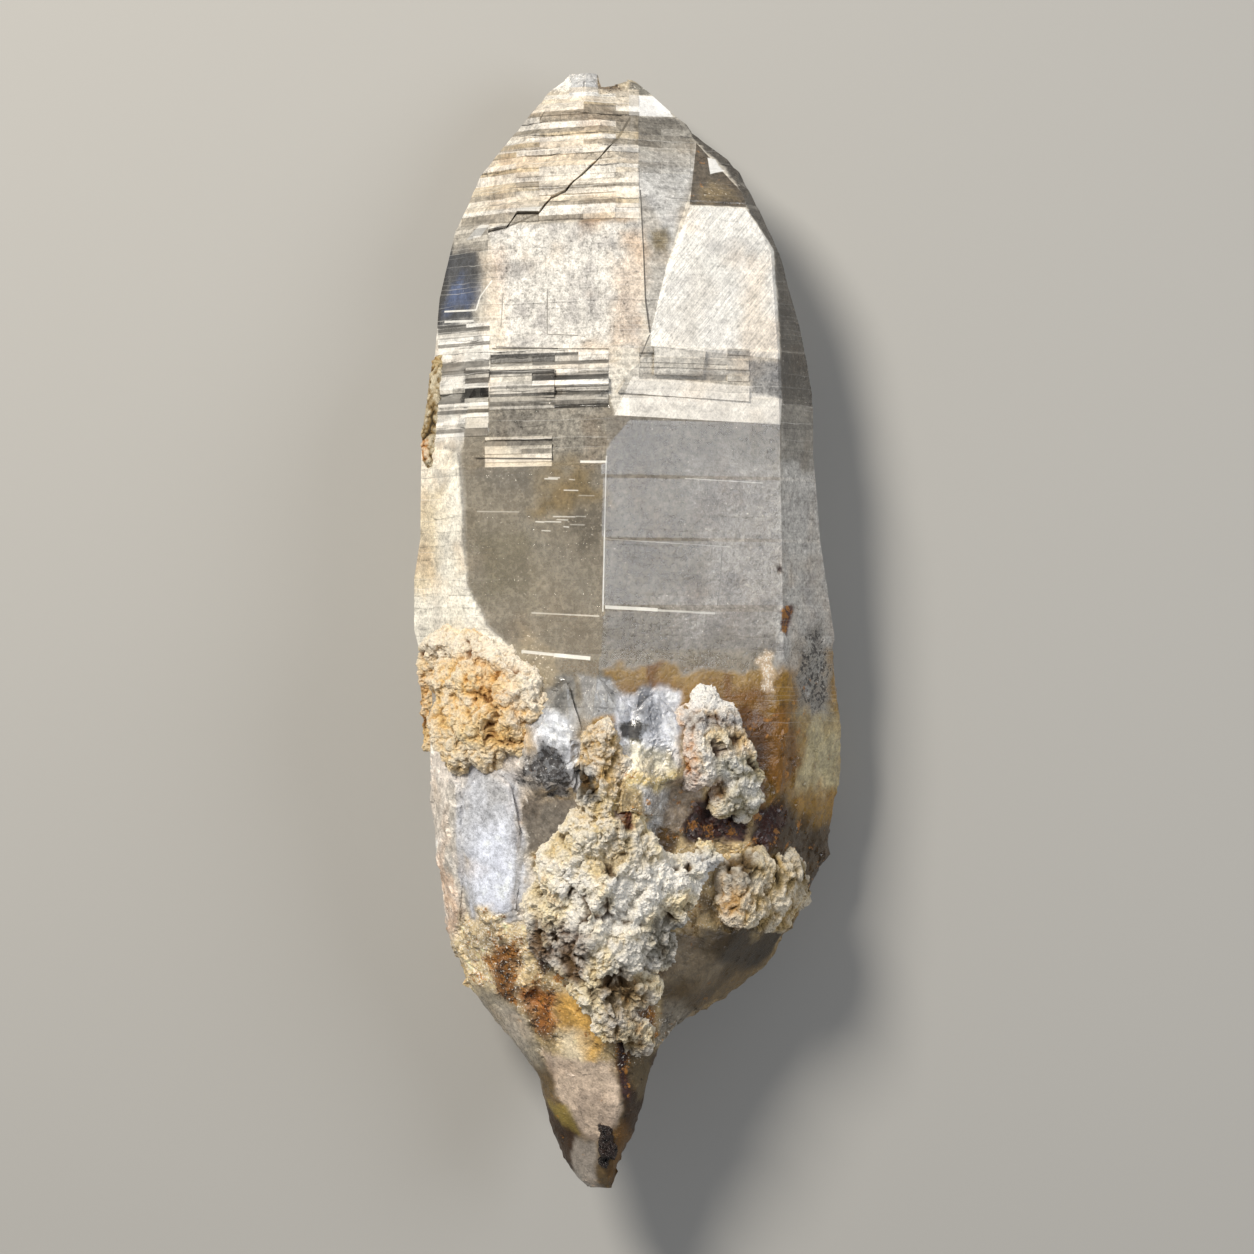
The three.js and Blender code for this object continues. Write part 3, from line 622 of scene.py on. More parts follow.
LOWER_ZONES = [
    # amber staining behind the quartz points
    zone([(-2.6, -3.2), (0, -3.4), (2, -2.7), (5, -3.6), (9, -3.9), (12.7, -3.4), (13, -9), (-3.6, -9)],
         "b8934f", soft=0.7, warp=1.5, clear=0.4, rough=0.14, frost=0.5, crumb=0.05),
    zone([(-2, -4.6), (3, -4.2), (8, -5.4), (12.6, -5), (13, -9), (-3, -9)], "946a26", soft=0.9, warp=1.8,
         share=0.6),
    zone([(1.5, -3), (2.8, -2.9), (2.6, -4.4), (3.8, -5.6), (2, -5.2)], "7d4a0c", soft=0.4, warp=0.8,
         share=0.7),
    zone([(8.6, -4.2), (9.2, -4.2), (9, -6), (12.4, -5.6), (12.2, -7.4), (8.4, -6.6)], "86520f", soft=0.5,
         warp=0.9, share=0.6),
    # lower part
    zone([(-21, -9), (-21, -52), (21, -52), (21, -9)], "c6ad7e", soft=1.8, warp=2.2, clear=0.1, rough=0.45,
         strata=0, frost=0.8, rust=0.18, crumb=0.35, relief=1, melt=0.5),
    # amber and olive glassy zone of the right side
    zone([(11.6, -4), (20, -2), (21, -27), (15, -27), (12, -19)], "96712a", soft=2, warp=2.4, clear=0.2,
         rough=0.2, frost=0.7, relief=0.5, crumb=0.05, rust=0.15, dark=0.1, melt=0.8),
    # painted highlight on the glassy right side
    zone([(15.4, -8), (18.4, -7.4), (19.8, -11), (19, -15), (16.2, -14)], "d2c79e", soft=3, warp=2.4,
         share=0.8, clear=0.25, rough=0.16),
    zone([(12.6, -6.6), (14.8, -7), (15.2, -13), (13.6, -15.6), (12.4, -12)], "7a4c14", soft=1.2, warp=1.4,
         share=0.7, rust=0.25),
    # dark lower right: its own olive brown, darkened further as painted shade
    zone([(11.6, -15.8), (11.6, -20.5), (16, -23), (19.5, -26), (19.5, -18), (16, -15.4)], "3f2a04",
         soft=1.8, warp=2.2, clear=0.12, rough=0.2, dark=0.2, rust=0.2),
    zone([(14.6, -15), (19.4, -14.4), (19.6, -18.4), (16, -18)], "9a7424", soft=1.8, warp=2, share=0.7),
    # pinkish left edge and its stain
    zone([(-19.5, -9.5), (-14.7, -10), (-15.1, -30), (-18, -31)], "f9efe4", soft=0.9, warp=1.0, clear=0.1,
         rough=0.4, relief=0.6, rust=0.06, crumb=0.3),
    zone([(-18.8, -14), (-16.4, -13.6), (-16, -18), (-18.2, -19)], "cfc6ba", soft=1, warp=1.4, share=0.7),
    zone([(-16.6, -17), (-16.8, -22), (-17.4, -28), (-15.6, -28), (-15.2, -20), (-15.6, -16)], "d09a5c",
         soft=1.6, warp=2.2, share=0.55, rust=0.12),
    # bluish white plate
    zone([(-15.8, -10.5), (-9.2, -11), (-8.4, -18.5), (-8.2, -24), (-9.4, -28), (-14.4, -28), (-16.4, -20)],
         "dcd5ca", soft=1.2, warp=1.6, clear=0.15, relief=0.8, crumb=0.3, rust=0.04, melt=1),
    zone([(-16.5, -9), (-9.5, -9.5), (-9.6, -13.5), (-15.8, -14)], "e2dcd6", soft=1.4, warp=1.6, share=0.8,
         melt=1),
    zone([(-14.6, -12.2), (-10.2, -12.8), (-9.6, -18.5), (-9.3, -23), (-10.3, -26.6), (-13.8, -26.9),
          (-15.3, -20)], "d6d8de", soft=1.2, warp=1.3, clear=0.25, rough=0.3, frost=0.8, relief=0.2, rust=0,
         crumb=0.12, hatch=0.25, melt=1),
    zone([(-13.8, -18), (-11.4, -17.4), (-10.3, -21), (-10.6, -25.4), (-13.2, -25.8), (-14.2, -22)],
         "e9eefb", soft=2, warp=1.2, clear=0.1, rough=0.24),
    zone([(-13.6, -12.4), (-10.6, -12.6), (-10.8, -15.4), (-12.8, -15.8)], "b9b7b4", soft=1.4, warp=1.2,
         share=0.6),
    # quartz points
    zone([(-9.2, -7), (-4.2, -7), (-3.4, -14.4), (-8.6, -14.4)], "e8ebf1", soft=1.3, warp=1.7, clear=0.2,
         rough=0.2, relief=0.9, rust=0, crumb=0.22, melt=0.05),
    zone([(-6.9, -4.3), (-4.8, -4.5), (-4.5, -6.4), (-5.6, -7.4), (-6.9, -6.8)], "a3a19c", soft=0.5,
         warp=1.2, clear=0.45, rough=0.12, relief=0.6, rust=0, crumb=0.15, melt=0),
    zone([(-4.4, -4), (-1.6, -4.2), (0.2, -7.4), (-3.6, -8.2)], "bdbcba", soft=0.5, warp=0.8, clear=0.4,
         rough=0.18, specks=0.6, relief=0.5, rust=0, crumb=0.25),
    zone([(-9.4, -11), (-7.4, -10.2), (-5.2, -11), (-5.4, -15), (-8.6, -15.6), (-9.8, -13.4)], "86888b",
         soft=1.6, warp=2.4, clear=0.2, rough=0.22, specks=0.5, dark=0.62, crumb=0.2, relief=0.7, melt=0.7),
    zone([(-9.6, -15.2), (-4.9, -15.2), (-4.7, -19), (-9, -19.8)], "a89f92", soft=0.8, warp=1.0, clear=0.6,
         rough=0.12, relief=0.25, frost=0.7, rust=0, crumb=0.12, melt=0.8),
    zone([(-1, -5.4), (5, -5.4), (5, -12.6), (-1, -12.6)], "f2f3f8", soft=0.9, warp=1.4, clear=0.2,
         rough=0.2, relief=0.8, rust=0, crumb=0.25),
    zone([(0.6, -5), (2.6, -5), (3.4, -9.6), (0.6, -9.6)], "8d9097", soft=0.8, warp=1.2, share=0.8,
         clear=0.3, crumb=0.3, melt=0.6),
    zone([(-0.8, -8.3), (0.8, -8.0), (1.8, -8.5), (1.2, -10.2), (-0.5, -9.8)], "5f5e5d", soft=0.15, warp=0.3,
         clear=0.45, rough=0.1, relief=0.1, crumb=0.05),
    zone([(0, -10.4), (4.6, -10.2), (5, -14.4), (1, -15)], "d9c98f", soft=1.2, warp=1.6, share=0.6,
         clear=0.1, crumb=0.5, relief=1),
    zone([(1, -14), (4.2, -13.6), (4, -18.6), (1.6, -18.8)], "c2c0bc", soft=0.8, warp=1.4, clear=0.25,
         rough=0.25, crumb=0.4, relief=0.8, melt=0.6),
    zone([(-4.2, -12), (-2.9, -12), (-3, -15), (-4.8, -15)], "1f1b17", soft=0.5, warp=1.0, clear=0.1,
         dark=0.6),
    zone([(3.6, -13.6), (6.6, -13.8), (6.5, -18.8), (4.4, -18.4), (3, -20.8), (2.2, -19)], "9a8872",
         soft=0.6, warp=1.0, clear=0.2, rough=0.25, relief=0.5, crumb=0.02, melt=0.8),
    zone([(2.3, -17.5), (5, -18.5), (3, -21.8)], "5f4416", soft=0.4, warp=0.8, clear=0.3),
    # maroon and black hollows
    zone([(5.6, -15.3), (8, -14.9), (10.6, -15.6), (10.8, -18.6), (9, -19.5), (5.4, -19)], "3a1c14",
         soft=0.8, warp=1.3, clear=0.05, rust=0.3, dark=0.45, crumb=0),
    zone([(11.3, -16.2), (14.3, -16.4), (14.2, -19.8), (11, -19.9)], "3a190d", soft=1.1, warp=1.6, clear=0.1,
         dark=0.4, rust=0.35, crumb=0),
    zone([(9.6, -7.4), (12.8, -7.6), (12.6, -12), (12.2, -16), (11, -16)], "6a451a", soft=1.2, warp=1.6,
         clear=0.2, rust=0.35, crumb=0.02),
    # olive smooth facets of the lower right, turned away from the light: their dark olive is partly painted
    # shade, and the lighter rim along their lower edge is partly a painted highlight
    zone([(3, -26.6), (9, -27.6), (14.8, -26.6), (12.6, -31), (9, -33.6), (6, -34.8), (3, -34)], "57462a",
         soft=1.2, warp=1.6, clear=0.1, rough=0.35, relief=0.3, rust=0.08, crumb=0.02, frost=0.7, melt=1),
    zone([(8.4, -26.8), (15.6, -26.6), (12.8, -31.4), (8, -30)], "2f2108", soft=2.2, warp=2.2, share=0.85,
         clear=0.1, rough=0.3),
    zone([(3.4, -27.6), (6.4, -27.4), (8.4, -30), (6, -32.4), (3.4, -31)], "8f7f66", soft=2, warp=2,
         share=0.7),
    zone([(4, -35.4), (9, -32.4), (13.6, -29.4), (15.6, -27), (17, -29), (9, -36)], "7d6642", soft=0.7,
         warp=1.2, share=0.8, crumb=0.1),
    zone([(3.4, -33), (6, -34.6), (3, -38), (1.6, -37)], "8d8270", soft=1.4, warp=1.6, clear=0.2, rough=0.3,
         melt=1),
    # stains and hollows of the lower left
    zone([(-15.6, -26), (-12, -25.4), (-9, -26), (-8, -34), (-15, -34)], "eed6a8", soft=1.4, warp=2.2,
         clear=0.05, rough=0.5, rust=0.32, crumb=0.55, relief=1),
    zone([(-12.6, -29.4), (-11, -29), (-9.8, -30.2), (-10, -32.6), (-11.8, -33.8), (-12.6, -31.6)], "9a6a36",
         soft=1.4, warp=2.2, clear=0.1, rust=0.5, dark=0.5, crumb=0.35),
    zone([(-9, -26.6), (-6, -26.2), (-3.6, -26.8), (-4.4, -29.6), (-8, -30)], "4a2b15", soft=1, warp=1.6,
         clear=0.1, rust=0.45, dark=0.5),
    zone([(-9.4, -30.4), (-6, -29.6), (-4.8, -31.4), (-5.4, -34), (-8.4, -34)], "c9b287", soft=1.2, warp=1.8,
         clear=0.15, rust=0.38, crumb=0.4),
    zone([(-9.6, -31.6), (-7.6, -31.2), (-6.4, -33.4), (-6.2, -36.4), (-8, -37), (-9, -34.6)], "a86c30",
         soft=1.4, warp=2.2, clear=0.1, rust=0.5, dark=0.45, crumb=0.3),
    zone([(-6.4, -32.8), (-4.2, -32.6), (-2.4, -36), (-2.8, -39), (-5.2, -38.6)], "dcae5c", soft=1.8,
         warp=1.8, clear=0.1, rust=0.2, crumb=0.15, relief=0.5),
    zone([(-6, -36.6), (-4, -36.4), (-3.6, -39.6), (-5.6, -39.8)], "f0e2c4", soft=1.6, warp=1.4, share=0.85,
         rust=0.03, relief=0.35),
    zone([(-13, -33), (-9, -33), (-6, -39), (-8, -41), (-11, -37)], "a3916e", soft=1.8, warp=2.0, clear=0.15,
         rust=0.1),
    zone([(-1.6, -31.6), (2.2, -31.6), (2.2, -38), (1, -40), (-0.8, -39.4)], "6e4c22", soft=0.8, warp=1.3,
         clear=0.1, rust=0.4, dark=0.3),
    zone([(-14, -32), (-10.6, -33.4), (-7.6, -37.6), (-7, -40), (-7.8, -43.6), (-10.4, -42), (-14.6, -36)],
         "a59b87", soft=1.4, warp=1.4, clear=0.2, rough=0.28, relief=0.3, crumb=0.05, rust=0.05, melt=1),
    zone([(-12, -33.6), (-9.8, -34.2), (-8.6, -37), (-10, -38)], "cfc4b2", soft=1.6, warp=1.4, clear=0.2),
    # tail
    zone([(-9, -39), (-4, -40), (3.4, -38), (4, -52), (-9, -52)], "6d5938", soft=1.6, warp=1.2, clear=0.12,
         rough=0.35, relief=0.35, crumb=0.03, rust=0.05, frost=0.6, melt=0.7),
    zone([(-7.4, -37.8), (-4, -38.8), (-1, -38.4), (-0.6, -42), (-1.2, -45), (-2.8, -46), (-4.6, -45.4),
          (-6.4, -42)], "cbb7a2", soft=0.7, warp=1.0, clear=0.1, rough=0.3, specks=0.3, frost=0.9,
         relief=0.3, rust=0.06, crumb=0.12),
    zone([(-9, -43), (-6.6, -43.1), (-4.3, -45.4), (-5, -49), (-8, -50.5)], "38230a", soft=1.0, warp=0.9,
         clear=0.05, rough=0.45, relief=0.3, dark=0.15, rust=0.1, crumb=0, frost=0.3),
    zone([(-0.6, -39.4), (3.4, -37.8), (3, -50.6), (-1.8, -50.6), (-0.6, -44)], "3a2405", soft=0.6, warp=1.0,
         clear=0.05, rough=0.45, relief=0.35, dark=0.2, rust=0.12, crumb=0.02, frost=0.4),
    zone([(-5, -45.8), (-2.9, -46), (-2.5, -51), (-4.9, -51)], "a49a8e", soft=0.6, warp=0.8, clear=0.12,
         rough=0.24, relief=0.3, dark=0.1, crumb=0.05),
    zone([(-7.6, -42.6), (-5.4, -43), (-4.4, -45.6), (-5.4, -45.2), (-6.8, -43.7)], "93803c", soft=0.5,
         warp=0.7, share=0.7),
    zone([(-2, -46), (-0.4, -44), (0.4, -46), (-1.6, -50.4)], "6e4d1c", soft=0.8, warp=0.8, share=0.8),
    zone([(0.3, -37.6), (2.4, -37), (2, -41.6), (0.6, -42)], "6b5a3a", soft=1.0, warp=1.0, share=0.8),
    zone([(-0.7, -36.4), (0.2, -36.6), (0.1, -42), (-0.6, -41.2)], "3a1b10", soft=0.3, warp=0.6, clear=0.1,
         dark=0.4, rust=0.4),
    # dark specks near the right edge, and rust spots
    zone([(15.2, -0.6), (17.4, 0.2), (18.6, -3), (18.4, -8), (16, -8.4), (15.2, -4.6)], "b3afa6", soft=1.8,
         warp=1.8, clear=0.3, rough=0.25, specks=1, dark=0.54, crumb=0.2, relief=0.3),
    zone([(13.8, 2), (14.8, 1.8), (14.5, 0.4), (14.3, -0.6), (13.7, -0.4)], "4e1f12", soft=0.15, warp=0.4,
         clear=0.1, dark=0.3, rust=0.6),
    zone([(13.2, 5.5), (13.9, 5.4), (13.7, 4.9), (13.3, 4.9)], "33130c", soft=0.15, warp=0.3, clear=0.1,
         dark=0.4),
    zone([(11.8, -1.8), (12.7, -2), (12.8, -5.6), (11.5, -5.6)], "dcc09c", soft=0.4, warp=1.2, clear=0.1,
         crumb=0.6),
    zone([(-10, 0.6), (-8, -1.6), (-6, -2.4), (-6.4, -5), (-10, -5)], "b9a888", soft=0.8, warp=1.4,
         share=0.6, clear=0.3, crumb=0.45),
]

STREAKS = [
    # in the window
    # these two streaks are a painted highlight along the front ridge
    line((-1.9, 15), (-2.05, 8.5), 0.1, share=0.6),
    line((-2.05, 8.5), (-2.2, 1.4), 0.12, share=0.75),
    line((5, 13.15), (12, 12.85), 0.08, share=0.6),
    line((-2, 7.75), (9, 7.15), 0.08, tint="d9d6cf", share=0.5),
    line((-2, 1.8), (2.6, 1.56), 0.3, tint="f2efe6", share=0.85),
    line((2.6, 1.52), (7.7, 1.25), 0.18, tint="e9e6dd", share=0.7),
    line((-8.5, 1.3), (-2.5, 1.0), 0.12, share=0.5),
    line((-9.4, -2.1), (-6.5, -2.38), 0.26, tint="f2efe6", share=0.85),
    line((-6.5, -2.4), (-3.3, -2.7), 0.34, tint="f6f3ea", share=0.9),
    line((-4.2, 14.55), (-1.9, 14.5), 0.2, share=0.85),
    line((-6.6, 9.75), (-4.6, 9.7), 0.1, share=0.6),
    line((-13.4, 10.3), (-9.6, 10.2), 0.1, tint="d9d6cf", share=0.5),
    # fine dark partings
    line((1.1, 39), (1.4, 33), 0.12, tint="2b2926"),
    line((1.4, 33), (1.55, 29), 0.14, tint="2b2926"),
    line((1.55, 29), (1.95, 26), 0.16, tint="2b2926"),
    line((1.9, 25.8), (1.0, 23.6), 0.12, tint="4b4843"),
    line((-7.2, 30), (-7.2, 26.1), 0.1, tint="77736b"),
    line((-7.2, 26.1), (-4.4, 25.9), 0.1, tint="77736b"),
    line((-11.8, 25.1), (-6.2, 24.75), 0.12, tint="4b4843"),
    line((-8.8, 44.5), (-7.4, 47), 0.12, tint="5b5348"),
    line((-4, 48.3), (-4, 49.6), 0.1, tint="3b3835"),
    line((0.2, 46.1), (-0.8, 44.1), 0.2, tint="3b352d"),
    line((-0.8, 44.1), (-2.2, 42.5), 0.24, tint="3b352d"),
    line((-8, 37.2), (-10.9, 36), 0.2, tint="4b463e"),
    line((-11.2, 30), (-11.4, 27), 0.1, tint="8d877c"),
    line((-16.7, 28.75), (-13.7, 28.6), 0.16),
    line((-13.7, 28.6), (-13.3, 29.8), 0.14),
    line((-13.3, 29.8), (-12.2, 31.2), 0.12),
    line((-16.7, 27.8), (-13.9, 27.65), 0.2),
    line((8.3, 6.8), (8.2, 4.4), 0.1, tint="75706a"),
    line((8.2, 4.4), (7.9, 1.9), 0.1, tint="75706a"),
]
DASHES = dict(
    left=-8.2, right=-2.6, low=8.2, high=13.4, count=12, seed=5, lengths=(0.5, 1.5), shares=(0.35, 0.75))
DASH_DROP = 0.05
DASH_WIDTH = 0.1


def white_dashes(left, right, low, high, count, seed, lengths, shares):
    """Short nearly level streaks, scattered over a stretch of the window."""
    dice = random.Random(seed)
    for _ in range(count):
        x, y = dice.uniform(left, right - lengths[1]), dice.uniform(low, high)
        end = (x + dice.uniform(*lengths), y - DASH_DROP)
        yield line((x, y), end, DASH_WIDTH, share=dice.uniform(*shares))


FRONT_ZONES = [*UPPER_ZONES, *LOWER_ZONES, *STREAKS, *white_dashes(**DASHES)]
# How far a zone's edge can wander, as a share of its warp, and a little more to be safe.
WANDER_REACH = 1.4
REACH_SPARE = 0.1


def paint(places, zones, start, wander):
    """Colour and finish of each place: the start values with every zone laid over them."""
    tint = np.tile(srgb(start["tint"]), (len(places), 1))
    finish = {key: np.full(len(places), float(start.get(key, 0))) for key in FINISH}
    for z in zones:
        corners = np.array(z["outline"])
        reach = z["soft"] + WANDER_REACH * z["warp"] + REACH_SPARE
        low, high = corners.min(0) - reach, corners.max(0) + reach
        near = np.flatnonzero(np.all((places[:, :2] > low) & (places[:, :2] < high), axis=1))
        if not len(near):
            continue
        depth = inside_depth(places[near, :2] + wander[near] * z["warp"], z["outline"])
        weight = smooth_step(-z["soft"] / 2, z["soft"] / 2, depth) * z["share"]
        tint[near] += (z["tint"] - tint[near]) * weight[:, None]
        for key, value in z["finish"].items():
            finish[key][near] += (value - finish[key][near]) * weight
    return tint, finish


def wander_at(places, seed, size=2.6, octaves=5):
    """Ragged offsets in x and y that make the edge of a zone wander."""
    return np.stack([cloud_noise(places, size, seed + k, octaves) for k in (0, 10)], axis=1)


def coarse_limit(middles, normals):
    """Longest edge of each face before the cuts."""
    return np.where(normals[:, 2] > BACK_FACING, COARSE_EDGE, BACK_EDGE)


def fine_limit(middles, normals):
    """Longest edge of each face of the finished surface."""
    front = np.where(middles[:, 1] < LOWER_TOP, LOWER_EDGE, UPPER_EDGE)
    up = normals[:, 2]
    return np.where(up < BACK_FACING, BACK_EDGE, np.where(up < SIDE_FACING, SIDE_EDGE, front))


def quartz_mesh(ledge_sets):
    """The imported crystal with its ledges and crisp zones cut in, and small enough triangles everywhere."""
    bm = packed_copy("quartz_crystal")
    bmesh.ops.dissolve_limit(bm, angle_limit=FLAT_TURN, verts=bm.verts, edges=bm.edges)
    triangulate(bm)
    coarse = refined(bm, coarse_limit)
    bm.clear()
    bm.from_mesh(coarse)
    for ledges in ledge_sets:
        cut_ledges(bm, ledges)
    for z in FRONT_ZONES:
        if z["crisp"]:
            cut_outline(bm, z["outline"])
    bmesh.ops.remove_doubles(bm, verts=bm.verts, dist=WELD)
    triangulate(bm)
    bmesh.ops.dissolve_degenerate(bm, edges=bm.edges, dist=WELD)
    triangulate(bm)
    mesh = refined(bm, fine_limit)
    mesh.name = "quartz_crystal_surface"
    bm.free()
    return mesh


def melted(mesh, places, amount):
    """Draws each point towards the middle of its neighbours, as far as the amount there says."""
    ends = rows_of(mesh.edges, "vertices", 2, np.int32)
    first, second = ends.T
    neighbours = np.bincount(ends.ravel(), minlength=len(places))
    for _ in range(MELT_ROUNDS):
        for k in range(3):
            total = np.bincount(first, places[second, k], len(places))
            total += np.bincount(second, places[first, k], len(places))
            places[:, k] += (total / neighbours - places[:, k]) * amount
    return places


def shape_quartz(mesh, ledge_sets):
    """Raises the ledges, rounds the worn steps and roughens the broken parts."""
    places = vertex_places(mesh)
    normals = rows_of(mesh.vertices, "normal", 3).astype(float)
    rise = sum(ledges.height_at(places) for ledges in ledge_sets)
    _, finish = paint(places, FRONT_ZONES, START, wander_at(places, ZONE_SEED))
    from_side = np.minimum(places[:, 0] - BOX_LOW[0], BOX_HIGH[0] - places[:, 0])
    melt = finish["melt"] * (normals[:, 2] > 0) * smooth_step(0, WIDEST_KEPT, from_side)
    worn = melted(mesh, places.copy(), melt)
    broken = relief_of(cloud_noise, places, *LUMPS) - BROKEN_DROP
    for facets in FACETS:
        broken += relief_of(chipped, places, *facets)
    depth, size, seed = HOLLOWS
    hollows = depth * finish["dark"] * smooth_step(-0.3, 0.3, cloud_noise(places, size, seed))
    relief = finish["relief"] * broken + relief_of(cloud_noise, places, *WAVES) - hollows
    moved = worn + normals * relief[:, None]
    moved[:, 2] += np.where(normals[:, 2] > FRONT_FACING, rise, 0)
    on_base = places[:, 2] < RESTING_BELOW
    moved[on_base, 2] = places[on_base, 2]
    set_places(mesh, inside_box(moved))


def tone_ledges(ledges, places, normals, tint, finish):
    """Lays the tones of a stretch's strips, partly painted reflection, over its colours."""
    number = ledges.tone_at(places)
    inside = (number >= 0) & (normals[:, 2] > TREAD_FACING)
    chosen = ledges.tones[np.maximum(number, 0)]
    share = ledges.share + relief_of(cloud_noise, places[inside], *LEDGE_STRAY)
    tint[inside] += (chosen[inside, :3] - tint[inside]) * share[:, None]
    finish["clear"][inside] = chosen[inside, 3]


def dress_quartz(mesh, ledge_sets):
    places, normals = corner_places(mesh)
    tint, finish = paint(places, FRONT_ZONES, START, wander_at(places, ZONE_SEED))
    for ledges in ledge_sets:
        tone_ledges(ledges, places, normals, tint, finish)
    for cloud in CLOUDS:
        weight = smooth_step(cloud["low"], cloud["high"], cloud_noise(places, *cloud["noise"]))
        weight = weight * finish["frost"] * cloud["strength"]
        tint += tint * (srgb(cloud["tint"]) - 1) * weight[:, None]
    height, *mottle = MOTTLE
    tone = 1 + height * cloud_noise(places, *mottle)
    facet_tone = np.random.default_rng(FACET_TONE_SEED).uniform(-FACET_TONE, FACET_TONE, TABLE_SIZE)
    for _, size, seed in FACETS[1:]:
        tone += facet_tone[cell_noise(places, size, seed)[1]] * finish["relief"]
    set_corner_values(mesh, "tint", np.clip(tint * tone[:, None], 0, 1), finish["clear"])
    set_corner_values(mesh, "finish", *(finish[key] for key in ("rough", "strata", "hatch", "specks")))
    set_corner_values(mesh, "stain", *(finish[key] for key in ("frost", "rust", "dark", "crumb")))


# Strips of the strata: how far each row is slid along the next, where in a strip its parting begins and is
# full, and which rows have one. Dots: how far apart, and where their edges begin and are full.
ROW_SLIDE = 9.0
PARTING = (0.22, 0.05)
PARTED_ROWS = (0.35, 0.8)
DOT_SPACING = (0.42, 0.5, 0.42)
DOT_EDGE = (0.34, 0.2)


# Materials

def new_material(name):
    material = bpy.data.materials.new(name)
    material.use_nodes = True
    tree = material.node_tree
    return material, tree, tree.nodes["Principled BSDF"]


def math_node(tree, operation, first, second=0.0):
    made = tree.nodes.new("ShaderNodeMath")
    made.operation = operation
    for socket, value in zip(made.inputs, (first, second)):
        if isinstance(value, (int, float)):
            socket.default_value = value
        else:
            tree.links.new(value, socket)
    return made.outputs[0]


def plus(tree, first, second):
    return math_node(tree, "ADD", first, second)


def minus(tree, first, second):
    return math_node(tree, "SUBTRACT", first, second)


def times(tree, first, second):
    return math_node(tree, "MULTIPLY", first, second)


def larger(tree, first, second):
    return math_node(tree, "MAXIMUM", first, second)


def weighted(tree, *terms, start=0.0):
    """Sum of values times their weights, from a start value."""
    total = start
    for value, weight in terms:
        total = plus(tree, times(tree, value, weight), total)
    return total


def attribute(tree, name):
    """The red, green, blue and alpha values of a painted attribute, and its colour."""
    made = tree.nodes.new("ShaderNodeAttribute")
    made.attribute_name = name
    parts = tree.nodes.new("ShaderNodeSeparateColor")
    tree.links.new(made.outputs["Color"], parts.inputs[0])
    return *parts.outputs, made.outputs["Alpha"], made.outputs["Color"]


def stretched(tree, size, turn=0.0):
    """Object coordinates in which a box of this size in millimetres, turned about Z, is one unit."""
    coordinates = tree.nodes.new("ShaderNodeTexCoord")
    mapping = tree.nodes.new("ShaderNodeMapping")
    mapping.vector_type = "TEXTURE"
    mapping.inputs["Rotation"].default_value = (0, 0, math.radians(turn))
    mapping.inputs["Scale"].default_value = [s * MM for s in size]
    tree.links.new(coordinates.outputs["Object"], mapping.inputs["Vector"])
    return mapping.outputs[0]


def remap(tree, value, low, high):
    """Runs from 0 at low to 1 at high, and stays there."""
    made = tree.nodes.new("ShaderNodeMapRange")
    made.inputs["From Min"].default_value = low
    made.inputs["From Max"].default_value = high
    tree.links.new(value, made.inputs["Value"])
    return made.outputs[0]


def noise_node(tree, size, turn=0.0, detail=3.0, harsh=0.5, low=0.32, high=0.68):
    """Noise with bumps of this size in millimetres, stretched to run from 0 to 1."""
    size = size if isinstance(size, tuple) else (size, size, size)
    noise = tree.nodes.new("ShaderNodeTexNoise")
    noise.inputs["Scale"].default_value = 1.0
    noise.inputs["Detail"].default_value = detail
    noise.inputs["Roughness"].default_value = harsh
    tree.links.new(stretched(tree, size, turn), noise.inputs["Vector"])
    return remap(tree, noise.outputs["Fac"], low, high)


def mix_colour(tree, share, first, second):
    made = tree.nodes.new("ShaderNodeMix")
    made.data_type = "RGBA"
    tree.links.new(share, made.inputs[0])
    for socket, value in ((made.inputs[6], first), (made.inputs[7], second)):
        if isinstance(value, str):
            socket.default_value = (*srgb(value), 1)
        else:
            tree.links.new(value, socket)
    return made.outputs[2]


def patches(tree, amount, noise, edge):
    """1 where a noise from 0 to 1 reaches into the share that amount gives, 0 elsewhere."""
    return remap(tree, minus(tree, plus(tree, amount, noise), 1.0), 0.0, edge)


def scaled_colour(tree, colour, factor):
    made = tree.nodes.new("ShaderNodeVectorMath")
    made.operation = "SCALE"
    tree.links.new(colour, made.inputs[0])
    tree.links.new(factor, made.inputs["Scale"])
    return made.outputs[0]


def bump_into(tree, shader, height, strength, distance):
    bump = tree.nodes.new("ShaderNodeBump")
    bump.inputs["Strength"].default_value = strength
    bump.inputs["Distance"].default_value = distance * MM
    tree.links.new(height, bump.inputs["Height"])
    tree.links.new(bump.outputs[0], shader.inputs["Normal"])


def strata_node(tree, wave, pitch, length, seed):
    """Tone from 0 to 1 of every strip of a stack of thin broken ledges, and some partings between them."""
    parts = tree.nodes.new("ShaderNodeSeparateXYZ")
    tree.links.new(stretched(tree, (length, pitch, length)), parts.inputs[0])
    height = plus(tree, parts.outputs["Y"], wave)
    row = math_node(tree, "FLOOR", height)
    shift = tree.nodes.new("ShaderNodeTexWhiteNoise")
    shift.noise_dimensions = "1D"
    tree.links.new(plus(tree, row, seed), shift.inputs["W"])
    along = weighted(tree, (shift.outputs["Value"], ROW_SLIDE), start=parts.outputs["X"])
    along = plus(tree, along, parts.outputs["Z"])
    place = tree.nodes.new("ShaderNodeCombineXYZ")
    tree.links.new(math_node(tree, "FLOOR", along), place.inputs["X"])
    tree.links.new(row, place.inputs["Y"])
    place.inputs["Z"].default_value = seed
    tone = tree.nodes.new("ShaderNodeTexWhiteNoise")
    tree.links.new(place.outputs[0], tone.inputs["Vector"])
    parting = remap(tree, math_node(tree, "FRACT", height), *PARTING)
    chosen = remap(tree, shift.outputs["Value"], *PARTED_ROWS)
    return tone.outputs["Value"], times(tree, parting, chosen)


